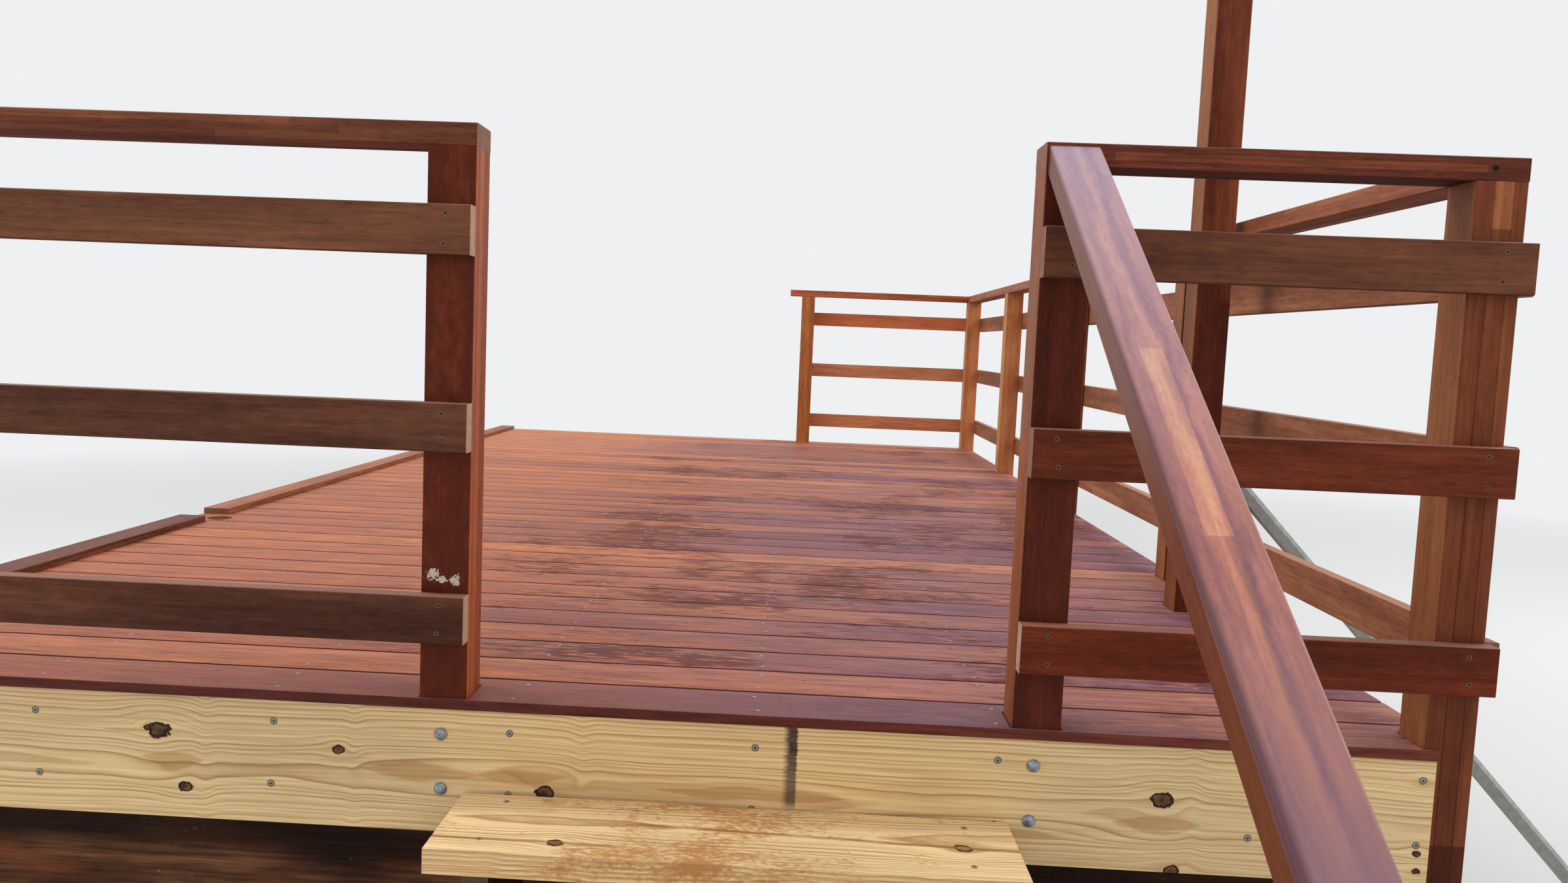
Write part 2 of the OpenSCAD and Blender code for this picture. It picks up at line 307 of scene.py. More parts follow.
def own_axes(part):
    """Along, across and through a stick that stands square, from its longest side to its shortest."""
    low = Vector([min(v.co[i] for v in part) for i in range(3)])
    high = Vector([max(v.co[i] for v in part) for i in range(3)])
    size = high - low
    order = sorted(range(3), key=lambda i: -round(size[i], 3))
    return [Vector([float(i == k) for i in range(3)]) for k in order]


def stick(node, timber, end_timber, look=None, axes=None):
    """Copies a CAD piece, writes each solid's grain on it, and shows it in the piece's place.
    look is (tone, how red), or a list with one for each solid; without it the dice pick a tone."""
    mesh = merged(node)
    grain = mesh.verts.layers.float_vector.new("grain")
    layers = [mesh.verts.layers.float.new(name) for name in ("tone", "red", "seed")]
    for number, part in enumerate(loose_parts(mesh)):
        along, across, through = axes or own_axes(part)
        start = [min(v.co.dot(axis) for v in part) for axis in (along, across, through)]
        chosen = look[number] if isinstance(look, list) else look
        own = (*(chosen or (dice.uniform(0.2, 0.8), 0.0)), dice.uniform(0, 50))
        for v in part:
            v[grain] = [v.co.dot(axis) - low for axis, low in zip((along, across, through), start)]
            for layer, value in zip(layers, own):
                v[layer] = value
        for face in {face for v in part for face in v.link_faces}:
            face.material_index = int(abs(face.normal.dot(along)) > 0.75)
    data = bpy.data.meshes.new(node + "_timber")
    mesh.to_mesh(data)
    mesh.free()
    data.materials.append(timber)
    data.materials.append(end_timber)
    piece = bpy.data.objects.new(node + "_timber", data)
    bpy.context.scene.collection.objects.link(piece)
    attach(piece, "root")
    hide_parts(node)
    return piece


print("stick helper ready")

# %% [markdown]
# ## Oiled hardwood
# The boards, posts and rails are a heavy red-brown hardwood under a fresh coat of oil. Close up it
# has slow drifts from orange to purple, darker lines and streaks along the grain, short dark pores
# and a soft broken gloss. Posts and top rails are glued up from strips, and each strip from shorter
# blocks, so every block has a tone of its own. The broad patterns only push that tone up or down,
# and it then picks a colour from dark to bright, so every colour is one that the timber can have.
# Fine streaks and pores are laid over it. The side faces of posts get painted light. Upper faces
# may be painted paler, a painted highlight of the sky. Undersides are painted darker, which is
# painted shade, and they are rougher and duller.

# %% Hardwood material
HALF_POST = 0.045


def hardwood(name, tones, strip=0.0, layer=0.0, block=0.9, strip_spread=0.35, drift_by=0.6, band_by=0.25,
             blotch_by=0.0, mottle_by=0.0, fleck_by=0.6, streak_by=1.0, painted_side_light=0.0, painted_side_tint=None,
             gloss=0.5, specular=0.12, painted_top_light=0.0, under=0.45, blocks=(), bands=(), marks=None):
    """tones run from dark to bright. A number whose name ends in by says how much a pattern shows.
    blocks are (axis, low, high, from along, to along, tone shift), bands (across, half width, shift)."""
    paint = Finish(name)
    place, seed, tone = paint.own_grain(), paint.number("seed"), paint.number("tone")
    axes = dict(zip(("along", "across", "through"), paint.parts(paint.grain())))
    if strip:
        strip_no = axes["across"] // strip
        if layer:
            strip_no += axes["through"] // layer * 9
        block_no = (axes["along"] / block + paint.chance(strip_no, seed, 0.5)).math("FLOOR")
        tone += (paint.chance(strip_no, block_no, seed) - 0.5) * strip_spread
    patterns = [(drift_by, (1.5, 10, 10), 3, 0.55, 0.3), (band_by, (1.3, 70, 70), 2, 0.5, 0.2),
                (blotch_by, (22, 45, 45), 5, 0.7), (mottle_by, (90, 170, 170), 3, 0.6)]
    for amount, size, *fineness in patterns:
        if amount:
            tone += (paint.noise(place, size, *fineness) - 0.5) * amount
    on_side = abs(axes["across"] - HALF_POST).spread(HALF_POST - 0.0015, HALF_POST - 0.0001)
    # Painted light: the side faces are lifted to a lighter tone.
    tone += on_side * painted_side_light
    wander = (paint.noise(place, (4.5, 25, 25), 4, 0.6) - 0.5) * 0.075
    for across, half, shift in bands:
        tone += abs(axes["across"] + wander - across).spread(half, 0.2 * half, 0, shift)
    for axis, low, high, start, end, shift in blocks:
        inside = axes[axis].between(low, high, 0.0006)
        tone += inside * axes["along"].between(start, end, 0.001) * shift

    streak = paint.noise(place, (6, 130, 130), 5, 0.65, 0.3)
    fleck = paint.noise(place, (30, 260, 260), 3, 0.6)
    pore = shaded(tones[0], 0.5)
    paint.colour = paint.ramp(tone, [(i / (len(tones) - 1), colour) for i, colour in enumerate(tones)])
    paint.tint(paint.number("red"), (1.15, 0.56, 0.36))
    # Painted light: the side faces are tinted apart from the fronts.
    if painted_side_tint:
        paint.tint(on_side, painted_side_tint)
    paint.times(streak.spread(0.3, 0.7, 1 - 0.5 * streak_by, 1 + 0.25 * streak_by))
    paint.over(fleck.spread(0.56, 0.72, 0, fleck_by), pore)
    paint.over(fleck.spread(0.42, 0.3, 0, 0.35 * fleck_by), tones[-2])
    if marks:
        marks(paint)
    # Painted highlight: faces that look up are painted paler, as the sky lights them.
    if painted_top_light:
        paint.over(paint.upward().spread(0.3, 0.9, 0, painted_top_light), (0.52, 0.26, 0.18))
    # Painted shade: undersides are painted darker, and they are also made rougher.
    shaded_underside = paint.upward().spread(-0.6, -0.8)
    paint.over(shaded_underside * under, pore)
    rough = (streak - 0.5) * 0.3 + shaded_underside * 0.35 + gloss
    return paint.dress(rough, streak, 0.3, 0.0008, specular)


# From dark to bright
RED_BROWN = [(0.032, 0.006, 0.003), (0.105, 0.019, 0.007), (0.28, 0.077, 0.028), (0.50, 0.175, 0.065)]
BROWN = [(0.034, 0.013, 0.008), (0.110, 0.038, 0.022), (0.25, 0.092, 0.046), (0.52, 0.22, 0.105)]
TOP_BROWN = [(0.045, 0.012, 0.008), (0.135, 0.036, 0.019), (0.28, 0.088, 0.040), (0.49, 0.17, 0.070)]
HANDRAIL = [(0.16, 0.074, 0.095), (0.37, 0.138, 0.122), (0.56, 0.215, 0.145), (0.72, 0.34, 0.19)]
# The far post's brighter ramp is painted sunlight.
SUNLIT_POST_TONES = [(0.20, 0.05, 0.015), (0.34, 0.10, 0.028), (0.52, 0.18, 0.05), (0.66, 0.27, 0.08)]
print("rules for hardwood ready")

# %% [markdown]
# ## Marks that one stick alone has
# The left post has pale scuffs, the right top rail a bolt hole left open, whose dark inside is
# painted shade, and the handrail a mauve head that is a painted reflection of the sky, mauve low
# down and streaks along its top. Each mark is a mask at a measured place, mixed over the timber.
# A small piece of mesh for each would do too, but none of them has any thickness.

# %% Marks in the hardwood
# From the stair's centre and up from the deck: the middle, half width and half height of each scuff
SCUFFS = [(-0.578, 0.234, 0.011, 0.009), (-0.561, 0.225, 0.009, 0.006), (-0.536, 0.226, 0.009, 0.010)]


def scuffs_on_post(paint):
    """Pale patches where the oil was knocked off the post's front, just above the lowest rail."""
    x, y, z = paint.parts(paint.spot())
    ragged = (paint.noise(paint.spot(), 150, 3, 0.6) - 0.5) * 5
    found = 0.0
    for side, rise, wide, high in SCUFFS:
        far = oval(x - (stair_mid + side), wide, z - (deck_top + rise), high).math("SQRT")
        found = (far + ragged).spread(0.95, 0.8).math("MAXIMUM", found)
    found *= y.spread(rim_face + 0.004, rim_face + 0.002)
    paint.over(found, (0.62, 0.48, 0.42))


def hole_in_top_rail(paint):
    """A bolt hole left open near the right end of the top rail's front, its dark inside painted shade."""
    x, y, z = paint.parts(paint.spot())
    far = oval(x - (stair_mid + 1.288), 1, z - (deck_top + 1.045), 1).math("SQRT")
    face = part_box("right_top_rail")[0].y
    found = far.spread(0.0065, 0.0045) * y.spread(face + 0.004, face + 0.002)
    # The hole's dark inside is painted shade.
    paint.over(found, (0.012, 0.006, 0.005))


def painted_sky_sheen_and_streaks(paint):
    """The handrail's top is painted mauve at its head, a painted reflection of the sky, and is mauve
    low down, with long orange and purple streaks between them, and has a dark line along its left arris."""
    along, across, through = paint.parts(paint.grain())
    top = through.spread(0.003, 0.001)
    # Painted reflection: the mauve at the head is a painted sky sheen.
    painted_sky_sheen = paint.product(paint.mix(0.55, paint.colour, (0.42, 0.19, 0.15)), (1.06, 1.8, 2.8))
    paint.over(along.spread(1.0, 0.0, 0, 0.85) * top, painted_sky_sheen)
    streaked = along.spread(0.85, 1.25, 0, 0.75) * top
    streak = paint.noise(paint.grain(), (2.8, 46, 1), 4, 0.55, 0.6)
    paint.over(streak.spread(0.54, 0.66) * streaked, (0.62, 0.24, 0.10))
    paint.over(streak.spread(0.46, 0.34) * streaked, (0.21, 0.075, 0.085))
    paint.over(along.spread(1.05, 1.4, 0, 0.85) * top, (0.25, 0.13, 0.155))
    arris = (across - along * 0.009).spread(0.005, -0.004, 0, 0.9)
    paint.over(arris * top, (0.10, 0.035, 0.042))


print("scuffs on the left post:", len(SCUFFS))

# %% [markdown]
# ## The hardwood finishes
# Posts are painted lighter or tinted on their left and right faces against their fronts, which is
# painted light. The tall post is darker below. Rails are browner and duller than posts, and the
# handrail, worn by hands and weather, is the palest. One rule with different numbers makes them
# all, so that they stay one timber.

# %% Hardwood finishes
post_look = dict(strip=0.03, strip_spread=0.2, band_by=0.15, painted_side_light=0.36, blotch_by=0.3, fleck_by=0.4,
                 streak_by=0.45)
post_wood = hardwood("oiled_post", RED_BROWN, painted_side_tint=(0.95, 1.22, 1.08), **post_look)
tall_post_wood = hardwood("oiled_tall_post", RED_BROWN, painted_side_tint=(0.72, 0.85, 0.7),
                          blocks=[("across", -0.1, 0.2, -0.1, 1.85, -0.17)], **post_look)
left_post_wood = hardwood(
    "oiled_left_post", RED_BROWN, painted_side_light=0.45, drift_by=0.35, band_by=0.15, blotch_by=0.4, fleck_by=0.2,
    streak_by=0.25, marks=scuffs_on_post,
    blocks=[("through", 0.050, 0.1, 0.0, 2.2, -0.16), ("through", 0.014, 0.024, 0.0, 2.2, -0.12)])
corner_wood = hardwood(
    "oiled_corner_post", RED_BROWN, drift_by=0.5, band_by=0.25, blotch_by=0.2, painted_side_light=0.12,
    painted_side_tint=(1.1, 1.4, 1.3), fleck_by=0.4, streak_by=0.45,
    blocks=[("across", 0.032, 0.066, 1.83, 2.0, 0.28), ("across", 0.066, 0.1, 0.0, 2.0, 0.03),
            ("across", 0.031, 0.034, 0.0, 2.0, -0.14), ("across", 0.064, 0.067, 0.0, 2.0, -0.14),
            ("across", -0.1, 0.1, 0.0, 0.71, -0.2)])
rail_wood = hardwood("oiled_rail", BROWN, gloss=0.6, specular=0.1, drift_by=0.7, band_by=0.2, fleck_by=0.45,
                     blotch_by=0.3, streak_by=0.6, painted_top_light=0.4)
top_wood = hardwood("oiled_top_rail", TOP_BROWN, strip=0.03, layer=0.014, block=0.7, band_by=0.4,
                    blotch_by=0.2, streak_by=0.7, painted_top_light=0.2, under=0.1)
right_top_wood = hardwood(
    "oiled_right_top_rail", TOP_BROWN, band_by=0.5, drift_by=0.4, blotch_by=0.2, painted_top_light=0.2,
    marks=hole_in_top_rail,
    blocks=[("through", 0.014, 0.028, 0.12, 0.765, 0.22), ("through", 0.0, 0.014, 0.3, 0.765, -0.05)])
handrail_wood = hardwood(
    "oiled_handrail", HANDRAIL, drift_by=0.5, band_by=0.22, blotch_by=0.35, gloss=0.4, specular=0.2,
    fleck_by=0.2, streak_by=0.28, mottle_by=0.35, painted_side_tint=(0.31, 0.185, 0.085), marks=painted_sky_sheen_and_streaks,
    blocks=[("across", 0.029, 0.060, 0.62, 0.98, 0.30)],
    bands=[(0.021, 0.013, -0.2), (0.066, 0.014, -0.3), (0.045, 0.012, 0.16)])
# A brighter copy of the post finish for the far post: painted sunlight.
sunlit_post_wood = hardwood("oiled_sunlit_post", SUNLIT_POST_TONES, strip=0.03, strip_spread=0.15)
trim_wood = hardwood("oiled_trim", TOP_BROWN, band_by=0.5)
print("finishes so far:", len(Finish.made))

# %% [markdown]
# ## The deck's own finish
# The boards are the same timber, but the oil stands on them. It has sunk in unevenly and left dark
# pools that reach over several boards, with broken orange flecks in them. Beside the wall the deck
# is dry and even, up to a line that wanders, and its far end is painted brighter, as painted
# sunlight. The first board is calmer where shoes wear it, its middle is painted mauve as a painted
# reflection of the sky, and its front edge is dark. So this finish mixes two things: a tone that
# runs along each board, and patches laid over the whole deck. A finish for each board alone could
# not show a pool that crosses from one to the next.

# %% Deck material
# From the stair's centre and the rim's face: the middle of each pool, and how far it reaches
POOLS = [(-0.55, 2.2, 0.55, 0.9), (-0.38, 1.2, 0.75, 0.5), (0.85, 2.9, 0.65, 1.1), (-0.5, 3.9, 0.8, 0.6),
         (-0.45, 0.36, 0.5, 0.09)]
DECK_TONES = [(0.0, (0.135, 0.055, 0.057)), (0.35, (0.225, 0.075, 0.057)), (0.65, (0.35, 0.112, 0.055)),
              (1.0, (0.53, 0.180, 0.062))]


def oiled_deck(name):
    paint = Finish(name)
    spot, place, own_tone = paint.spot(), paint.own_grain(), paint.number("tone")
    x, y = paint.parts(spot)[:2]
    across = paint.parts(paint.grain())[1]
    ragged = (paint.noise(spot, (0.6, 1.7, 1), 3, 0.6) - 0.5) * 1.6
    dry = (x + ragged).spread(stair_mid - 0.4, stair_mid - 1.2)
    # Painted sunlight: the far end of the deck is painted brighter.
    painted_sunlight = y.spread(rim_face + 3.9, rim_face + 5.0)
    first = y.spread(rim_face + 0.139, rim_face + 0.135)
    calm = 1 - first * 0.4
    drift = paint.noise(place, (1.3, 7, 7), 3, 0.6, 0.4)
    streak = paint.noise(place, (5, 60, 60), 5, 0.7, 0.4)
    fleck = paint.noise(place, (13, 75, 75), 5, 0.75)
    fine = paint.noise(place, (9, 150, 150), 4, 0.65)

    tone = own_tone * 0.62 + 0.19 + (drift - 0.5) * 0.8
    tone += dry * (0.72 - tone) * 0.7
    tone += x.spread(stair_mid + 0.5, stair_mid + 0.9) * first * 0.3
    paint.colour = paint.ramp(tone, DECK_TONES)
    purple = x.spread(stair_mid - 0.4, stair_mid + 0.45, 0, 0.95) * (1 - painted_sunlight)
    paint.tint(purple, (1.0, 1.23, 1.95))
    paint.tint(painted_sunlight, (1.38, 1.45, 1.35))
    shade = streak.spread(0.3, 0.7, 0.52, 1.42) * fine.spread(0.3, 0.7, 0.8, 1.2)
    paint.times(shade)

    pool = paint.noise(spot, (2.2, 2.8, 1), 5, 0.62, 0.5) + (fleck - 0.5) * 0.9 - own_tone * 0.1 - dry * 0.3
    for side, away, wide, deep in POOLS:
        far = oval(x - (stair_mid + side), wide, y - (rim_face + away), deep)
        pool += far.spread(1.4, 0, 0, 0.16)
    wet = pool.spread(0.55, 0.62) * calm
    paint.over(wet * 0.6, (0.08, 0.015, 0.013))
    crackle = pool.spread(0.4, 0.5) * fleck.spread(0.46, 0.38, 0, 0.8) * calm
    paint.over(crackle, (0.50, 0.165, 0.07))
    paint.over(fleck.spread(0.62, 0.72, 0, 0.6) * calm, (0.06, 0.014, 0.010))

    # Painted reflection of the sky: the first board is painted mauve in its middle, brown further left.
    sheen_film = x.spread(stair_mid - 0.5, stair_mid + 0.5)
    sheen_film = paint.mix(sheen_film, (0.235, 0.062, 0.038), (0.145, 0.078, 0.100))
    worn = first * x.spread(stair_mid + 0.9, stair_mid + 0.4) * pool.spread(0.38, 0.58, 0.3, 0.8)
    paint.over(worn, sheen_film)
    crumb = paint.noise(spot, 95, 2).spread(0.72, 0.745)
    paint.over(crumb, (0.02, 0.012, 0.010))
    edge = x.spread(stair_mid - 0.3, stair_mid + 1.2)
    edge = paint.mix(edge, (0.098, 0.021, 0.016), (0.17, 0.037, 0.020))
    paint.over(across.spread(0.0014, 0.0004), paint.product(edge, shade))
    return paint.dress(streak * 0.3 + wet * 0.12 + 0.4, fleck, 0.25, 0.0008, specular=0.14)


deck_wood = oiled_deck("oiled_decking")
print("finishes so far:", len(Finish.made))

# %% [markdown]
# ## End grain
# Where a stick is cut across, the open ends of the pores drink the oil and dry duller, in dots
# instead of lines. A few rails have bare, pale ends, as if they were cut after they were oiled.

# %% End grain materials
def end_grain(name, colour, ring):
    paint = Finish(name)
    cloud = paint.noise(paint.spot(), 60, 4, 0.6)
    dots = paint.noise(paint.spot(), 900, 2)
    paint.colour = paint.ramp(dots * 0.5 + cloud * 0.5, [(0.3, ring), (0.6, colour)])
    return paint.dress(0.75, dots, 0.2, 0.0005)


hardwood_end = end_grain("hardwood_end", (0.24, 0.105, 0.060), (0.12, 0.046, 0.028))
bare_end = end_grain("dry_hardwood_end", (0.46, 0.28, 0.185), (0.26, 0.14, 0.09))
pine_end = end_grain("pine_end", (0.62, 0.42, 0.22), (0.40, 0.24, 0.11))
old_end = end_grain("old_hardwood_end", (0.13, 0.075, 0.045), (0.05, 0.028, 0.016))
print("finishes so far:", len(Finish.made))

# %% [markdown]
# ## Treated pine
# The rims, joists and treads are pale pine. Its growth rings are wide, so a plank shows long
# wavy lines. The rings are circles round a heart that lies just outside the plank, so the lines
# crowd towards one edge. Near a knot they swing round it, and where the grain is curly they all
# kink. Where the saw ran along a ring there is a tongue, a long darker patch with a line round
# it. Knots have ragged edges and a black rim. A picture of pine would repeat; rings worked out
# from the place do not.

# %% Pine material
def pine(name, knots=(), tongues=(), kinks=(), heart=(0.1, 0.03), ring=0.0092, pale=(0.79, 0.57, 0.30),
         marks=None):
    """knots are (along, across, size), tongues (along, across, half length, half height) and kinks
    (along, half width, push). The heart lies heart[0] up the face and heart[1] outside it."""
    paint = Finish(name)
    grain, place, seed = paint.grain(), paint.own_grain(), paint.number("seed")
    along, across, through = paint.parts(grain)
    wobble = paint.noise(grain, 44, 3, 0.6) - 0.5
    sag = paint.noise(grain, (9, 24, 24), 2) - 0.5
    masks = dict.fromkeys(("body", "core", "tongue", "line"), 0.0)

    def mark(kind, value):
        masks[kind] = value.math("MAXIMUM", masks[kind])

    pushed = across
    for middle, height, size in knots:
        wide = 1.35 * size
        side, rise = along - middle, across - height
        pushed -= rise * bell(oval(side, 3.5 * wide, rise, 3 * size))
        near = oval(side, wide, rise, size).math("SQRT") + wobble * 1.5
        mark("body", near.spread(1.15, 1.0))
        mark("core", abs(near - 0.9).spread(0.22, 0.08))
        mark("core", near.spread(0.4, 0.1, 0, 0.5))
    for middle, height, wide, high in tongues:
        side, rise = along - middle, across - height
        pushed -= rise * bell(oval(side, 1.5 * wide, rise, 2.2 * high)) * 0.95
        near = abs(rise / high + sag * 1.6) + (side / wide) ** 2
        mark("tongue", near.spread(1.0, 0.85))
        mark("line", abs(near - 1).spread(0.1, 0.02))
    for middle, wide, push in kinks:
        pushed += bell(((along - middle) / wide) ** 2) * (sag + 0.6) * push

    reach = oval(pushed - heart[0], 1, through + heart[1], 1).math("SQRT")
    reach += paint.noise(place, (0.9, 2.6, 2.6), 2, 0.4) * 0.05 + paint.noise(place, (4.5, 14, 14), 2) * 0.009
    uneven = paint.noise(paint.join(reach * 30, 0, seed), 1, 2)
    count = (reach + uneven * 0.03) / ring
    wave = count.math("FRACT")
    firm = paint.chance(count.math("FLOOR"), 0.5, 0.5).spread(0, 1, 0.5, 1.15)
    late = wave ** 2.6 * wave.spread(1.0, 0.9) * firm

    fibre = paint.noise(place, (5, 190, 190), 4, 0.6)
    cloud = paint.noise(place, (2, 7, 7), 3)
    paint.colour = paint.mix(cloud.spread(0.35, 0.65), pale, shaded(pale, 1.16))
    paint.over(masks["tongue"] * 0.6, (0.55, 0.30, 0.11))
    paint.over(late.math("MAXIMUM", masks["line"] * 0.35), (0.38, 0.185, 0.055))
    shade = fibre.spread(0.3, 0.7, 0.84, 1.08)
    paint.times(paint.join(shade, shade ** 1.3, shade ** 1.9))
    knot = paint.mix(wobble.spread(-0.08, 0.1), (0.19, 0.08, 0.033), (0.07, 0.028, 0.014))
    paint.over(masks["body"], knot)
    paint.over(masks["core"], (0.020, 0.008, 0.005))
    if marks:
        marks(paint)
    return paint.dress(0.6, fibre, 0.2, 0.0004, specular=0.2)


print("rules for pine ready")

# %% [markdown]
# ## What lies in the rim and on the treads
# The front rim is the plank that everyone sees, so its knots, tongues and kinks stand where the
# real ones do, and so does a black mark that something rubbed down it. Shoes left orange-brown
# dirt on the middle of the treads. The measured places are short lists, and the rule above draws
# the grain round them.

# %% Pine finishes
# From the stair's centre and down from the deck: middle and size of each knot and tongue on the rim
RIM_KNOTS = [(-1.102, 0.091, 0.015), (-1.124, 0.088, 0.006), (-1.051, 0.199, 0.010), (-0.753, 0.110, 0.008),
             (-0.358, 0.173, 0.012), (0.793, 0.122, 0.014), (0.818, 0.257, 0.010), (1.262, 0.060, 0.005),
             (1.261, 0.198, 0.006), (1.263, 0.231, 0.006), (-1.75, 0.18, 0.012)]
RIM_TONGUES = [(-0.60, 0.146, 0.12, 0.018), (-0.40, 0.144, 0.09, 0.014), (0.03, 0.155, 0.19, 0.013),
               (-1.165, 0.094, 0.05, 0.003), (-1.075, 0.148, 0.06, 0.02), (0.785, 0.168, 0.08, 0.016),
               (-1.7, 0.1, 0.14, 0.016), (0.45, 0.2, 0.16, 0.012)]
# From the stair's centre: where the grain is curly, half the width of the place, and its push
RIM_KINKS = [(-1.012, 0.018, 0.010), (-0.723, 0.016, 0.008), (-0.289, 0.02, 0.011), (0.849, 0.018, -0.010)]
# Along and across the plank: middle and size of each knot in a tread
TREAD_KNOTS = [(0.215, 0.05, 0.011), (0.922, 0.118, 0.012)]
# The left edge of the black mark
MARK_LEFT = stair_mid + 0.1046


def rubbed_mark_on_rim(paint):
    """A black rubbed mark down the rim: sharp on its right, frayed on its left, thinner lower down."""
    place = paint.parts(paint.spot())
    side, height = place[0] - MARK_LEFT, place[2]
    bars = paint.noise(paint.spot(), (12, 20, 300), 3, 0.6)
    left = (side + bars * 0.02).spread(-0.006, 0.006)
    right = (side + bars * 0.008).spread(0.017, 0.0135)
    down = height.spread(deck_top - 0.183, deck_top - 0.165)
    down *= height.spread(deck_top - 0.12, deck_top - 0.06, 0.8, 0.97)
    worn = paint.mix(bars.spread(0.4, 0.6), (0.022, 0.016, 0.016), (0.085, 0.055, 0.042))
    paint.over(left * right * down, worn)


def dirt_on_tread(paint):
    """Orange-brown dirt on the middle of a tread, two dark streaks of resin, a knot with a pale
    heart, and the lines of the rings on the plank's front edge."""
    grain = paint.grain()
    along, across, through = paint.parts(grain)
    cloud = paint.noise(grain, (7, 14, 14), 5, 0.65)
    speck = paint.noise(grain, (70, 150, 150), 4, 0.7)
    amount = cloud + abs(along - 0.52).spread(0.40, 0.1) * 0.24 + (speck - 0.5) * 0.9
    paint.over(amount.spread(0.64, 0.86, 0, 0.85), (0.50, 0.20, 0.045))
    sway = (paint.noise(paint.join(along * 8, 0, 0), 1, 2) - 0.5) * 0.012
    for start, slope, low, high in ((0.155, -0.040, 0.32, 0.36), (0.05, 0.0, 0.36, 0.30)):
        off = abs(across - (along * slope + start + sway))
        line = off.spread(0.0070, 0.002, 0, 0.85) * cloud.spread(0.3, 0.5, 0.4, 1)
        paint.over(line * along.spread(low, high), (0.33, 0.135, 0.042))
    far = oval(along - TREAD_KNOTS[1][0], 0.0125, across - TREAD_KNOTS[1][1], 0.0085)
    paint.over(far.spread(0.9, 0.4), (0.42, 0.20, 0.085))
    wave = (paint.noise(paint.join(along * 5, 0, through), 1) - 0.5) * 0.03
    rings = ((through + wave) / 0.0088).math("FRACT")
    rings = rings ** 1.8 * rings.spread(1.0, 0.85)
    front = across.spread(0.0012, 0.0004, 0, 0.9)
    paint.over(rings * front, (0.42, 0.21, 0.07))


def on_rim(marks):
    """Turns places from the stair's centre and the deck into places in the rim's own grain."""
    return [(stair_mid + side - rim_low.x, deck_top - drop - rim_low.z, *size) for side, drop, *size in marks]


rim_kinks = [(stair_mid + side - rim_low.x, wide, push) for side, wide, push in RIM_KINKS]
rim_pine = pine("rim_pine", on_rim(RIM_KNOTS), on_rim(RIM_TONGUES), rim_kinks, marks=rubbed_mark_on_rim)
tread_pine = pine("tread_pine", TREAD_KNOTS, heart=(0.14, 0.08), ring=0.005, pale=(0.905, 0.65, 0.36),
                  marks=dirt_on_tread)
frame_pine = pine("frame_pine")
print("finishes so far:", len(Finish.made))

# %% [markdown]
# ## Old hardwood and galvanised steel
# The bearers and stumps are older, dark and dry, with pale scuffs, and painted darkest right under
# the rim, which is painted shade. The brace is dull zinc with a painted highlight along its upper
# edge. The zinc of a bolt's head has grown in spangles, which show as light and dark patches.

# %% Old hardwood and steel materials
OLD_TONES = [(0.34, (0.018, 0.007, 0.005)), (0.5, (0.100, 0.038, 0.019)), (0.66, (0.27, 0.115, 0.053))]


def old_hardwood(name):
    paint = Finish(name)
    place = paint.own_grain()
    streak = paint.noise(place, (3, 90, 90), 5, 0.65, 0.5)
    cloud = paint.noise(place, (3, 10, 10), 4, 0.6)
    paint.colour = paint.ramp(streak * 0.45 + cloud * 0.55, OLD_TONES)
    warm = paint.noise(place, (5, 12, 12), 4, 0.6)
    paint.over(warm.spread(0.54, 0.66, 0, 0.6), (0.20, 0.055, 0.018))
    scuff = paint.noise(place, (40, 70, 70), 5, 0.75).spread(0.62, 0.70, 0, 0.7)
    scuff *= paint.noise(place, (2.5, 4, 4), 2).spread(0.46, 0.56)
    paint.over(scuff, (0.45, 0.38, 0.31))
    paint.times(paint.noise(place, (7, 240, 240), 4, 0.65).spread(0.3, 0.7, 0.65, 1.35))
    # Painted shade: darker towards the underside of the rim.
    height = paint.parts(paint.spot())[2]
    painted_shade_under_rim = height.spread(rim_low.z - 0.14, rim_low.z - 0.10, 0, 0.8)
    paint.over(painted_shade_under_rim, (0.010, 0.005, 0.004))
    return paint.dress(0.85, streak, 0.5, 0.002, specular=0.15)


def zinc(name, colour, rough, edge=None, spots=55, dark=0.85):
    """edge is (direction, how far along it): past there a painted highlight brightens the zinc."""
    paint = Finish(name)
    paint.colour = colour
    if edge:
        reach = paint.length("DOT_PRODUCT", {0: paint.spot(), 1: edge[0]})
        # Painted highlight along the upper edge.
        paint.over(reach.spread(edge[1] - 0.001, edge[1] + 0.001), (0.52, 0.53, 0.52))
    spangle = paint.noise(paint.spot(), spots, 3, 0.6, 0.5)
    paint.times(spangle.spread(0.35, 0.65, dark, 1.1))
    return paint.dress(rough, spangle, 0.05, 0.0005, metallic=0.7)


old_wood = old_hardwood("old_hardwood")
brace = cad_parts["steel_brace"]
brace_tilt = math.radians(47)
brace_up = Vector((math.sin(brace_tilt), 0, math.cos(brace_tilt)))
upper_edge = max(brace_up.dot(v.co) for v in brace.data.vertices)
# The brace's upper edge gets a painted highlight.
brace_steel = zinc("galvanised_steel", (0.31, 0.30, 0.275), 0.55, (brace_up, upper_edge - 0.010))
screw_steel = zinc("screw_steel", (0.34, 0.35, 0.38), 0.4)
oiled_screw_steel = zinc("oiled_screw_steel", (0.045, 0.025, 0.02), 0.6)
bolt_steel = zinc("bolt_steel", (0.37, 0.40, 0.46), 0.35, spots=190, dark=0.4)
print("finishes so far:", len(Finish.made))

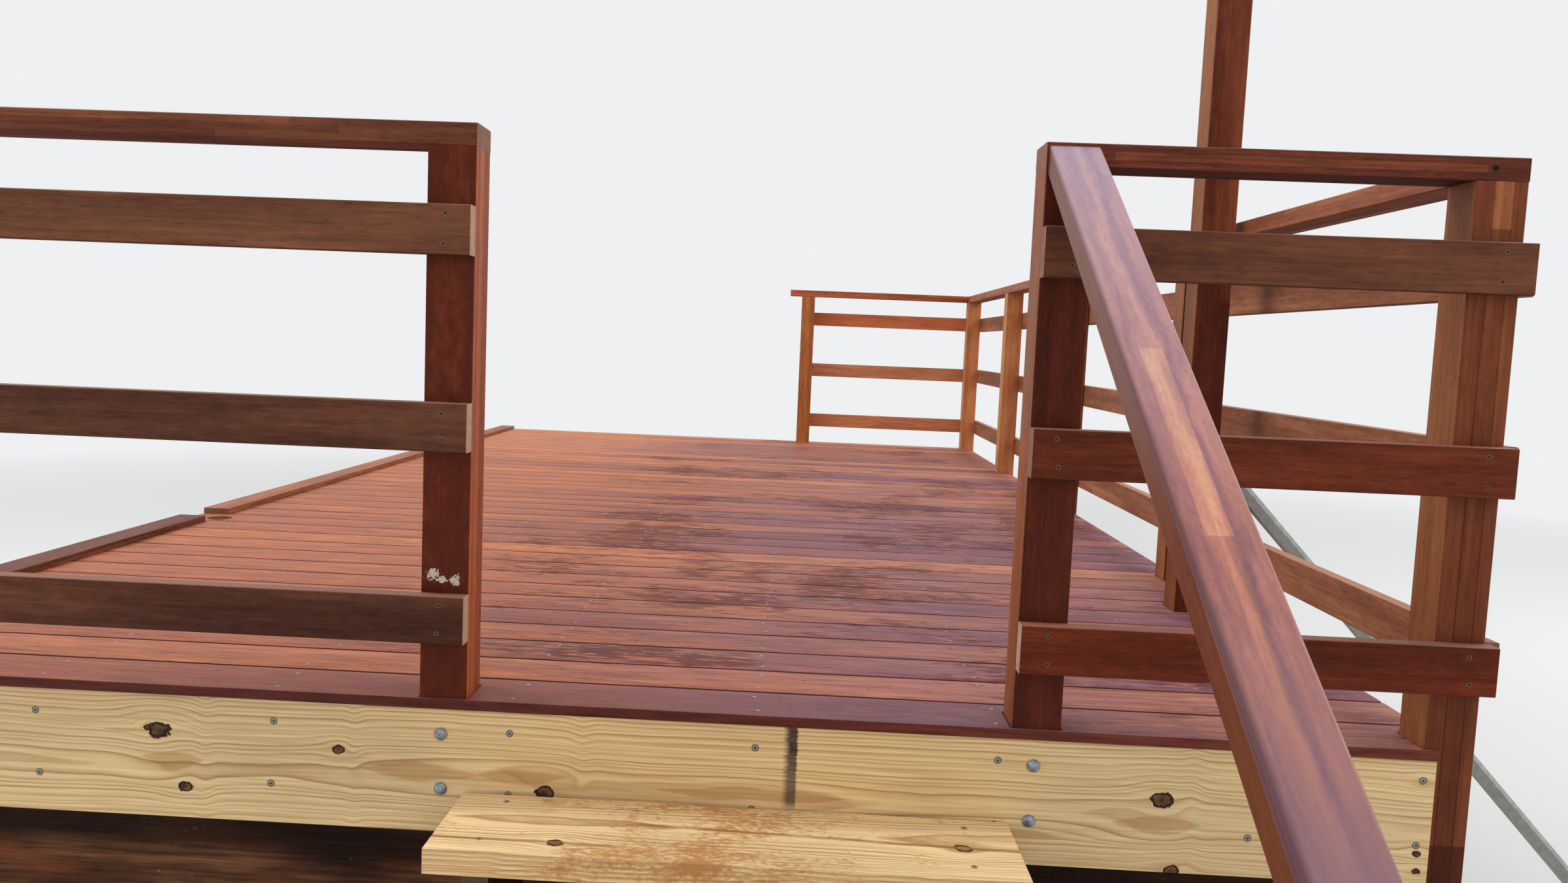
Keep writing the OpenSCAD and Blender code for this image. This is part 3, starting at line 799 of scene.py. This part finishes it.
# %% [markdown]
# ## Dressing every stick
# Every piece but the decking and the brace now gets a copy that carries its grain, and the copy
# stands in its place. Each stick was picked from a mixed pack, so each has a tone from 0, dark, to
# 1, bright, and some are redder. The posts and rails at the far end are given the brightest tones,
# and the far post a brighter copy of the post finish, as painted sunlight. The decking is laid
# further down. The brace is one smooth tube, and needs no more than its material.

# %% Dress every stick
stair_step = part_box("tread_2")[1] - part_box("tread_1")[1]
slope_down = Vector((0, stair_step.y, stair_step.z)).normalized()
slope_square = Vector((0, -stair_step.z, stair_step.y)).normalized()
sideways = Vector((1, 0, 0))

stick("front_rim", rim_pine, pine_end)
for node in ("far_rim", "side_joist", "wall_joist", "joists"):
    stick(node, frame_pine, pine_end)
for number in (1, 2, 3, 4):
    stick(f"tread_{number}", tread_pine, pine_end)
for node in ("bearers", "stumps"):
    stick(node, old_wood, old_end)
for node in ("stringer_left", "stringer_right"):
    stick(node, old_wood, old_end, axes=(slope_down, slope_square, sideways))
# side_post_3 and far_corner_post get the brightest tones, as painted sunlight.
for node, timber, look in (
        ("wall_post", post_wood, (0.3, 0.2)), ("left_post", left_post_wood, (0.33, 0.3)),
        ("stair_post", post_wood, (0.265, 0.25)), ("corner_post", corner_wood, (0.49, 0.0)),
        ("side_post_1", post_wood, (0.28, 0.1)), ("side_post_2", post_wood, (0.5, 0.0)),
        ("side_post_3", post_wood, (0.92, 0.0)), ("far_corner_post", post_wood, (0.98, 0.0)),
        ("tall_post", tall_post_wood, (0.46, 0.15)), ("foot_post", post_wood, (0.4, 0.0))):
    stick(node, timber, hardwood_end, look)
# The far post takes the brighter copy of the post finish: painted sunlight.
stick("far_post", sunlit_post_wood, hardwood_end)

# The far rails' outer faces are the deck's back end, so they make room for their screw heads
head_room = 0.0011
# The far rails' bright tones are painted sunlight.
rail_looks = {"left": [(0.32, 0.1), (0.34, 0.0), (0.50, 0.0)],
              "right": [(0.35, 1.0), (0.41, 0.85), (0.42, 0.1)],
              "side": [(0.73, 0.0), (0.70, 0.0), (0.70, 0.0)],
              "far": [(1.0, 0.25), (0.98, 0.15), (1.0, 0.6)]}
for side, looks in rail_looks.items():
    for number, look in enumerate(looks, 1):
        bare = side == "left" or (side == "right" and number == 1)
        piece = stick(f"{side}_rail_{number}", rail_wood, bare_end if bare else hardwood_end, look)
        if side == "far":
            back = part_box(f"far_rail_{number}")[1].y
            for v in piece.data.vertices:
                v.co.y = min(v.co.y, back - head_room)
for node, timber, look in (
        ("left_top_rail", top_wood, (0.46, 0.0)), ("right_top_rail", right_top_wood, (0.36, 0.35)),
        ("side_top_rail", top_wood, (0.66, 0.0)), ("far_top_rail", top_wood, (0.75, 0.5))):
    stick(node, timber, hardwood_end, look)
stick("handrail", handrail_wood, hardwood_end, (0.5, 0.0), (slope_down, sideways, slope_square))
stick("wall_trim", trim_wood, hardwood_end, [(0.38, 0.0), (0.74, 0.0)])
brace.data.materials.clear()
brace.data.materials.append(brace_steel)

# %% [markdown]
# ## Geometry Nodes: a tree that makes a plain mesh
# Boards and screws repeat by a rule, so Geometry Nodes make them. Each tree is written once with
# named inputs, run on a small carrier object, and kept as a plain mesh without the modifier.
# Placing each board by hand would give the same, but a wider gap would then mean all of it again.

# %% Helpers: write and run a geometry tree
def new_tree(name, inputs):
    """A geometry tree with named inputs, given as (name, socket kind, value)."""
    tree = bpy.data.node_groups.new(name, "GeometryNodeTree")
    tree.interface.new_socket("Geometry", in_out="INPUT", socket_type="NodeSocketGeometry")
    for label, kind, value in inputs:
        socket = tree.interface.new_socket(label, in_out="INPUT", socket_type="NodeSocket" + kind)
        if value is not None:
            socket.default_value = value
    tree.interface.new_socket("Geometry", in_out="OUTPUT", socket_type="NodeSocketGeometry")
    return tree, put(tree, "NodeGroupInput").outputs


def steps_of(tree):
    """A short way to add Geometry Nodes to this tree, by the last part of their names."""
    def step(kind, feeds=None, **settings):
        return out(tree, "GeometryNode" + kind, feeds, **settings)
    return step


def grow(tree, name, mesh=None, **values):
    """Runs the tree on a carrier object and returns it with the result as a plain mesh."""
    carrier = bpy.data.objects.new(name, mesh or bpy.data.meshes.new(name))
    bpy.context.scene.collection.objects.link(carrier)
    nodes = carrier.modifiers.new("grow", "NODES")
    nodes.node_group = tree
    for socket in tree.interface.items_tree:
        if socket.in_out == "INPUT" and socket.name in values:
            nodes[socket.identifier] = values[socket.name]
    whole = carrier.evaluated_get(bpy.context.evaluated_depsgraph_get())
    result = bpy.data.meshes.new_from_object(whole)
    carrier.modifiers.remove(nodes)
    carrier.data = result
    print(name, "has", len(result.polygons), "faces")
    return carrier


def box_mesh(name, boxes):
    """One mesh with a closed box for each (low corner, high corner)."""
    mesh = bmesh.new()
    for low, high in boxes:
        size = [b - a for a, b in zip(low, high)]
        middle = [(a + b) / 2 for a, b in zip(low, high)]
        bmesh.ops.create_cube(mesh, size=1, matrix=Matrix.Translation(middle) @ Matrix.Diagonal((*size, 1)))
    data = bpy.data.meshes.new(name)
    mesh.to_mesh(data)
    mesh.free()
    return data


print("geometry helpers ready")

# %% [markdown]
# ## Where the boards are cut
# The boards run under the balustrade, so they are cut round every post, and back to the side
# joist's face at the two right corners. The cuts are boxes round the posts, taken away at the
# end. Each is a little wider than its post, as a saw cut is.

# %% Cut boxes
POSTS = ("wall_post", "left_post", "stair_post", "corner_post", "side_post_1", "side_post_2",
         "side_post_3", "far_corner_post", "far_post", "tall_post")
cut_gap = 0.003
beyond = 0.01
far_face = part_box("far_rim")[1].y
side_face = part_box("side_joist")[1].x


def cuts_round_posts():
    below, above, right_edge = deck_low.z - beyond, deck_high.z + beyond, deck_high.x + beyond
    boxes = []
    for name in POSTS:
        low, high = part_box(name)
        front = rim_face if abs(low.y - rim_face) < 0.001 else low.y - cut_gap
        back = far_face if abs(high.y - far_face) < 0.001 else high.y + cut_gap
        right = right_edge if high.x > side_face else high.x + cut_gap
        boxes.append(((low.x - cut_gap, front, below), (right, back, above)))
    corner_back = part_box("corner_post")[1].y
    far_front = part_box("far_corner_post")[0].y
    boxes.append(((side_face, deck_low.y - beyond, below), (right_edge, corner_back, above)))
    boxes.append(((side_face, far_front, below), (right_edge, deck_high.y + beyond, above)))
    return boxes


cut_boxes = cuts_round_posts()
cutters = bpy.data.objects.new("cutters", box_mesh("cutters", cut_boxes))
bpy.context.scene.collection.objects.link(cutters)
print("cuts:", len(cut_boxes))

# %% [markdown]
# ## Laying the deck
# The boards lie across the joists at one spacing, and a round hole is cut where a pipe came up.
# A board is a rounded rectangle swept along its length. No board lies perfectly flat, so each one
# leans a fraction of a degree its own way, which breaks the reflections from board to board.

# %% The tree that lays the boards
def board_tree(timber, end_timber):
    tree, given = new_tree("lay_boards", [
        ("Corner", "Vector", (0, 0, 0)), ("Length", "Float", 3.0), ("Board Width", "Float", 0.14),
        ("Board Thickness", "Float", 0.02), ("Pitch", "Float", 0.147), ("Boards", "Int", 10),
        ("Edge Round", "Float", 0.002), ("Lean", "Float", 0.0012), ("Seed", "Int", 11766),
        ("Cutters", "Object", None), ("Hole Centre", "Vector", (0, 0, 0)), ("Hole Radius", "Float", 0.04)])
    width, thickness, pitch = given["Board Width"], given["Board Thickness"], given["Pitch"]
    step = steps_of(tree)

    def vec(x=0.0, y=0.0, z=0.0):
        return out(tree, "ShaderNodeCombineXYZ", {0: x, 1: y, 2: z})

    def lay_row():
        """The boards as they lie before they are cut."""
        section = step("CurvePrimitiveQuadrilateral", {"Width": width, "Height": thickness}, mode="RECTANGLE")
        rounding = {"Curve": section, "Count": 3, "Radius": given["Edge Round"]}
        section = step("FilletCurve", rounding, mode="POLY")
        line = step("CurvePrimitiveLine", {"End": vec(given["Length"])})
        board = step("CurveToMesh", {"Curve": line, "Profile Curve": section, "Fill Caps": True})
        row = step("MeshLine", {"Count": given["Boards"], "Offset": vec(0.0, pitch)}, mode="OFFSET")
        lean = {"Min": vec(Value(tree, given["Lean"]) * -1), "Max": vec(given["Lean"]), "Seed": given["Seed"]}
        lean = out(tree, "FunctionNodeRandomValue", lean, data_type="FLOAT_VECTOR")
        laid = step("InstanceOnPoints", {"Points": row, "Instance": board, "Rotation": lean})
        laid = step("RealizeInstances", {"Geometry": laid})
        half = vec(0.0, Value(tree, width) * 0.5, Value(tree, thickness) * 0.5)
        start = out(tree, "ShaderNodeVectorMath", {0: given["Corner"], 1: half}, operation="ADD")
        return step("Transform", {"Geometry": laid, "Translation": start})

    def cut_out(laid):
        cutter = put(tree, "GeometryNodeObjectInfo", {"Object": given["Cutters"]}).outputs["Geometry"]
        hole = step("MeshCylinder", {"Vertices": 32, "Radius": given["Hole Radius"], "Depth": 0.1})
        hole = step("Transform", {"Geometry": hole, "Translation": given["Hole Centre"]})
        cut = put(tree, "GeometryNodeMeshBoolean", {"Mesh 1": laid}, operation="DIFFERENCE", solver="EXACT")
        for taken in (cutter, hole):
            tree.links.new(taken, cut.inputs["Mesh 2"])
        return cut.outputs[0]

    def by_board(low, high, number, seed):
        feeds = {2: low, 3: high, "ID": number, "Seed": seed}
        return put(tree, "FunctionNodeRandomValue", feeds, data_type="FLOAT").outputs[1]

    def write_grain(mesh):
        inside = {0: step("InputPosition"), 1: given["Corner"]}
        inside = out(tree, "ShaderNodeVectorMath", inside, operation="SUBTRACT")
        x, y, z = [Value(tree, part) for part in put(tree, "ShaderNodeSeparateXYZ", {0: inside}).outputs]
        number = (y + 0.002) // pitch
        for name, kind, value in (("grain", "FLOAT_VECTOR", vec(x, y - number * pitch, z)),
                                  ("tone", "FLOAT", by_board(0.05, 0.95, number, given["Seed"])),
                                  ("seed", "FLOAT", by_board(0.0, 50.0, number, 11))):
            feeds = {"Geometry": mesh, "Name": name, "Value": value}
            mesh = step("StoreNamedAttribute", feeds, data_type=kind, domain="POINT")
        return mesh

    def set_materials(mesh):
        facing = Value(tree, out(tree, "ShaderNodeSeparateXYZ", {0: step("InputNormal")}))
        feeds = {0: abs(facing), 1: 0.75}
        ends = out(tree, "FunctionNodeCompare", feeds, data_type="FLOAT", operation="GREATER_THAN")
        mesh = step("SetMaterial", {"Geometry": mesh, "Material": timber})
        return step("SetMaterial", {"Geometry": mesh, "Selection": ends, "Material": end_timber})

    put(tree, "NodeGroupOutput", {"Geometry": set_materials(write_grain(cut_out(lay_row())))})
    return tree


# %% Lay the boards
board_width, board_gap = 0.14, 0.007
pitch = board_width + board_gap
boards = round((deck_high.y - deck_low.y + board_gap) / pitch)
sink = 0.0003
pipe_in, pipe_back, pipe_radius = 0.1, 1.81, 0.04
hole_centre = (deck_low.x + pipe_in, rim_face + pipe_back, deck_top)
decking = grow(board_tree(deck_wood, hardwood_end), "deck_boards", **{
    "Corner": (deck_low.x, deck_low.y, deck_low.z - sink), "Length": deck_high.x - deck_low.x,
    "Board Width": board_width, "Board Thickness": deck_high.z - deck_low.z, "Pitch": pitch, "Boards": boards,
    "Cutters": cutters, "Hole Centre": hole_centre, "Hole Radius": pipe_radius})
bpy.data.objects.remove(cutters)
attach(decking, "root")
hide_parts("decking")
print("boards:", boards)

# %% [markdown]
# ## The heads of screws and bolts
# Each head is a small shape set on a point, turned to face out of the timber and spun by chance,
# since no two screws stop at the same angle. A screw is a bevelled disc with a dark square of
# painted shade for its recess, in a dented or rubbed ring of timber, and a bolt is a low dome. That
# reads as a screw at any distance and costs few faces, where a cut recess would cost many and never
# show.

# %% The tree that sets screw and bolt heads
def head_tree(name, steel, recess_shade_paint, ring_paint, dome=False):
    tree, given = new_tree(name, [
        ("Head Diameter", "Float", 0.009), ("Head Height", "Float", 0.0008), ("Recess", "Float", 0.003),
        ("Stain Diameter", "Float", 0.012), ("Seed", "Int", 5)])
    step, height = steps_of(tree), given["Head Height"]
    head_radius = Value(tree, given["Head Diameter"]) * 0.5
    ring_radius = Value(tree, given["Stain Diameter"]) * 0.5

    def cylinder(sides, radius, depth):
        return step("MeshCylinder", {"Vertices": sides, "Radius": radius, "Depth": depth})

    if dome:
        head = step("MeshUVSphere", {"Segments": 24, "Rings": 12, "Radius": 1.0})
        flat = out(tree, "ShaderNodeCombineXYZ", {0: head_radius, 1: head_radius, 2: height})
        head = step("Transform", {"Geometry": head, "Scale": flat})
        shapes = [(step("SetShadeSmooth", {"Geometry": head}), steel)]
    else:
        disc = step("MeshCone", {"Vertices": 12, "Radius Top": head_radius * 0.8,
                                 "Radius Bottom": head_radius, "Depth": height})
        up = out(tree, "ShaderNodeCombineXYZ", {2: height})
        recess = step("Transform", {"Geometry": cylinder(4, given["Recess"], 0.0002), "Translation": up})
        shapes = [(disc, steel), (recess, recess_shade_paint), (cylinder(10, ring_radius, 0.0004), ring_paint)]
    head = put(tree, "GeometryNodeJoinGeometry")
    for shape, material in shapes:
        painted = step("SetMaterial", {"Geometry": shape, "Material": material})
        tree.links.new(painted, head.inputs[0])
    facing = step("InputNamedAttribute", {"Name": "facing"}, data_type="FLOAT_VECTOR")
    turned = out(tree, "FunctionNodeAlignRotationToVector", {"Vector": facing}, axis="Z")
    feeds = {"Min": (0, 0, 0), "Max": (0, 0, math.tau), "Seed": given["Seed"]}
    spin = out(tree, "FunctionNodeRandomValue", feeds, data_type="FLOAT_VECTOR")
    spin = out(tree, "FunctionNodeEulerToRotation", {0: spin})
    turned = out(tree, "FunctionNodeRotateRotation", {0: turned, 1: spin}, rotation_space="LOCAL")
    heads = {"Points": given["Geometry"], "Instance": head.outputs[0], "Rotation": turned}
    heads = step("RealizeInstances", {"Geometry": step("InstanceOnPoints", heads)})
    put(tree, "NodeGroupOutput", {"Geometry": heads})
    return tree


def points_mesh(name, places):
    """A mesh of bare points, each with the direction that its screw faces."""
    data = bpy.data.meshes.new(name)
    data.from_pydata([place for place, facing in places], [], [])
    facing = data.attributes.new("facing", "FLOAT_VECTOR", "POINT")
    facing.data.foreach_set("vector", [c for place, direction in places for c in direction])
    return data


def set_heads(tree, name, places, sizes):
    heads = grow(tree, name, points_mesh(name, places), **sizes)
    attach(heads, "root")


print("head trees ready")

# %% [markdown]
# ## Where the screws go
# Countersunk screws go in pairs wherever a board or rail crosses its support, and cup-head bolts
# hold the posts to the rims. A carpenter places them by eye, so each stands a few millimetres off
# its line. The supports themselves say where the lines are.

# %% Places of the screws and bolts
UP, FRONT, BACK, RIGHT = (0, 0, 1), (0, -1, 0), (0, 1, 0), (1, 0, 0)
SIDE_POSTS = ("corner_post", "side_post_1", "side_post_2", "side_post_3", "far_corner_post")
shake = random.Random(21)


def about(value, by=0.003):
    return value + shake.uniform(-by, by)


def centre(node):
    low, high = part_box(node)
    return (low + high) / 2


def middles(node):
    """The X of the middle of each solid in a node."""
    mesh = merged(node)
    places = sorted((min(v.co.x for v in part) + max(v.co.x for v in part)) / 2 for part in loose_parts(mesh))
    mesh.free()
    return places


def clear_of_posts(x, y, room=0.012):
    return not any(low[0] - room < x < high[0] + room and low[1] - room < y < high[1] + room
                   for low, high in cut_boxes)


joist_lines = middles("wall_joist") + middles("joists") + middles("side_joist")
wall_room = deck_low.x + 0.1
deck_screws = []
for number in range(boards):
    for x in joist_lines:
        for inset in (0.028, 0.112):
            spot = (about(x, 0.006), about(deck_low.y + number * pitch + inset, 0.004))
            if clear_of_posts(*spot) and (x > wall_room or number > 0) and spot[0] > wall_room:
                deck_screws.append(((*spot, deck_top - sink), UP))

rim_screws = []
for x in joist_lines[1:]:
    for face, facing in ((rim_face, FRONT), (far_face, BACK)):
        for drop in (0.062, 0.184):
            rim_screws.append(((about(x, 0.004), face, about(deck_top - drop)), facing))

tread_screws = []
for number in (1, 2, 3, 4):
    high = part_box(f"tread_{number}")[1]
    for stringer in ("stringer_left", "stringer_right"):
        for inset in (0.035, 0.19):
            tread_screws.append(((about(centre(stringer).x, 0.004), about(high.y - inset), high.z), UP))

rail_screws = []


def screw_rail(rail, posts, face, facing):
    """Two screws through a rail into the middle of each post; face is the rail's outer face."""
    for post in posts:
        for drop in (0.018, 0.069):
            z = about(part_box(rail)[1].z - drop, 0.002)
            if facing == RIGHT:
                rail_screws.append(((face, about(centre(post).y, 0.005), z), facing))
            else:
                rail_screws.append(((about(centre(post).x, 0.005), face, z), facing))


far_rail_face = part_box("far_rail_1")[1].y - head_room
for number in (1, 2, 3):
    screw_rail(f"left_rail_{number}", ("wall_post", "left_post"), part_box("left_rail_1")[0].y, FRONT)
    screw_rail(f"right_rail_{number}", ("stair_post", "corner_post"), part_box("right_rail_1")[0].y, FRONT)
    screw_rail(f"far_rail_{number}", ("far_post", "far_corner_post"), far_rail_face, BACK)
    screw_rail(f"side_rail_{number}", SIDE_POSTS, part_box("side_rail_1")[1].x, RIGHT)

top_screws = []
top_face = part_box("left_top_rail")[1].z
for post in POSTS[:-1]:
    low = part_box(post)[0]
    for share in (0.3, 0.7):
        x, y = low.x + 2 * HALF_POST * share, low.y + 2 * HALF_POST * (1 - share)
        top_screws.append(((about(x), about(y), top_face), UP))

bolts = []
for post in ("left_post", "stair_post"):
    for drop in (0.070, 0.176):
        bolts.append(((about(centre(post).x - 0.004, 0.003), rim_face, deck_top - drop), FRONT))
bolts += [((centre("far_post").x, far_face, deck_top - drop), BACK) for drop in (0.07, 0.176)]
for post in SIDE_POSTS:
    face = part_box(post)[1].x
    bolts += [((face, about(centre(post).y), deck_top - drop), RIGHT) for drop in (0.07, 0.19)]
print("screws in deck, rims, treads, rails and top rails:", len(deck_screws), len(rim_screws),
      len(tread_screws), len(rail_screws), len(top_screws), "bolts:", len(bolts))

# %% [markdown]
# ## Driving the screws
# A driven screw bruises the timber round it: dark in the oiled boards, brownish in pine, and a
# pale rubbed ring on the rails, where the driver's bit knocked the oil off. The screws in the
# rails were oiled over, so their heads are dark.

# %% Drive the screws
def plain_dark(name, colour):
    paint = Finish(name)
    cloud = paint.noise(paint.spot(), 300, 2)
    paint.colour = paint.mix(cloud, shaded(colour, 0.8), shaded(colour, 1.2))
    return paint.dress(0.8)


# The recess is a dark square of painted shade.
recess_shade = plain_dark("screw_recess_shade", (0.02, 0.018, 0.018))
wood_dent = plain_dark("screw_dent", (0.07, 0.028, 0.016))
pine_dent = plain_dark("pine_dent", (0.24, 0.15, 0.075))
rubbed_ring = plain_dark("rubbed_ring", (0.21, 0.11, 0.075))
wood_heads = head_tree("screws_in_decking", screw_steel, recess_shade, wood_dent)
rail_heads = head_tree("screws_in_rails", oiled_screw_steel, recess_shade, rubbed_ring)
pine_heads = head_tree("screws_in_pine", screw_steel, recess_shade, pine_dent)
bolt_heads = head_tree("cup_head_bolts", bolt_steel, recess_shade, pine_dent, dome=True)
for tree, name, places, head, ring, recess in (
        (wood_heads, "deck_screws", deck_screws, 0.0085, 0.010, 0.0018),
        (rail_heads, "rail_screws", rail_screws, 0.0065, 0.0088, 0.0026),
        (rail_heads, "top_rail_screws", top_screws, 0.0075, 0.0105, 0.0022),
        (pine_heads, "rim_screws", rim_screws, 0.0095, 0.015, 0.0028),
        (pine_heads, "tread_screws", tread_screws, 0.009, 0.012, 0.0025)):
    set_heads(tree, name, places, {"Head Diameter": head, "Stain Diameter": ring, "Recess": recess})
set_heads(bolt_heads, "rim_bolts", bolts, {"Head Diameter": 0.025, "Head Height": 0.0075})
print("finishes so far:", len(Finish.made))

# %% [markdown]
# ## Camera
# The photograph was taken at eye level in front of the stair, a little right of its middle. Its
# place, turn and lens were worked out from the straight edges of the deck.

# %% Camera
photo_wide = 2400
lens_px = 1735.12
middle_px = (-48.85, -4.78)
eye = Vector((-0.15495, -4.4585, 1.5808))
turn, tip, roll = (math.radians(a) for a in (2.088, 4.858, 2.312))

level = math.radians(90)
look = Matrix.Rotation(turn, 3, "Z") @ Matrix.Rotation(level - tip, 3, "X") @ Matrix.Rotation(roll, 3, "Z")
lens = bpy.data.cameras.new("camera")
lens.sensor_width = 36
lens.lens = lens_px / photo_wide * lens.sensor_width
lens.shift_x = -middle_px[0] / photo_wide
lens.shift_y = middle_px[1] / photo_wide
lens.clip_end = 200
camera = bpy.data.objects.new("camera", lens)
camera.matrix_world = Matrix.Translation(eye) @ look.to_4x4()
bpy.context.scene.collection.objects.link(camera)
bpy.context.scene.camera = camera
print("lens", round(lens.lens, 2), "mm")

# %% [markdown]
# ## Floor, light and background
# A plain pale floor carries the deck and takes its shadow, and fades into an even background
# further out. Two wide soft lamps and an even sky light it, so that a colour renders about as it
# is written. A sun would throw hard shadows, and they would hide how the pieces meet.

# %% Stage
BACKDROP = (0.86, 0.87, 0.88, 1)


def pale_floor(radius=45, sides=96):
    data = bpy.data.meshes.new("floor")
    angles = [i * math.tau / sides for i in range(sides)]
    ring = [(radius * math.cos(a), radius * math.sin(a), 0) for a in angles]
    data.from_pydata(ring, [], [list(range(sides))])
    paint = Finish("pale_floor")
    away = paint.length("LENGTH", {0: paint.spot()})
    paint.colour = paint.mix(away.spread(8, 30), (0.58, 0.58, 0.57), (0.7, 0.7, 0.7))
    paint.dress(0.9)
    glow = out(paint.tree, "ShaderNodeEmission", {"Color": BACKDROP, "Strength": 1.0})
    feeds = {0: away.spread(6, 12), 1: paint.skin.outputs[0], 2: glow}
    feed(paint.tree, paint.end, {"Surface": out(paint.tree, "ShaderNodeMixShader", feeds)})
    data.materials.append(paint.material)
    floor = bpy.data.objects.new("floor", data)
    bpy.context.scene.collection.objects.link(floor)


def soft_lamp(name, place, aim, size, power):
    data = bpy.data.lights.new(name, "AREA")
    data.shape = "DISK"
    data.size = size
    data.energy = power
    lamp = bpy.data.objects.new(name, data)
    lamp.location = place
    lamp.rotation_euler = (Vector(aim) - Vector(place)).to_track_quat("-Z", "Y").to_euler()
    bpy.context.scene.collection.objects.link(lamp)


def plain_sky(light, seen):
    """One brightness lights the deck, and another is what the camera and reflections see."""
    world = bpy.data.worlds.new("sky")
    world.use_nodes = True
    tree = world.node_tree
    tree.nodes.clear()
    ray = put(tree, "ShaderNodeLightPath").outputs
    shows = Value(tree, ray["Is Camera Ray"]).math("MAXIMUM", ray["Is Glossy Ray"])
    shows = shows.math("MAXIMUM", ray["Is Transmission Ray"])
    lit = out(tree, "ShaderNodeBackground", {"Color": (0.95, 0.98, 1.0, 1), "Strength": light})
    backdrop = out(tree, "ShaderNodeBackground", {"Color": BACKDROP, "Strength": seen})
    both = out(tree, "ShaderNodeMixShader", {0: shows, 1: lit, 2: backdrop})
    put(tree, "ShaderNodeOutputWorld", {"Surface": both})
    bpy.context.scene.world = world


pale_floor()
soft_lamp("left_lamp", (-7, -0.5, 7), (0, 0, 1), 5, 420)
soft_lamp("right_lamp", (7.5, 1.0, 7), (0, 0, 1), 5, 470)
plain_sky(0.87, 1.0)
bpy.context.scene.view_settings.view_transform = "Standard"
print("stage set")
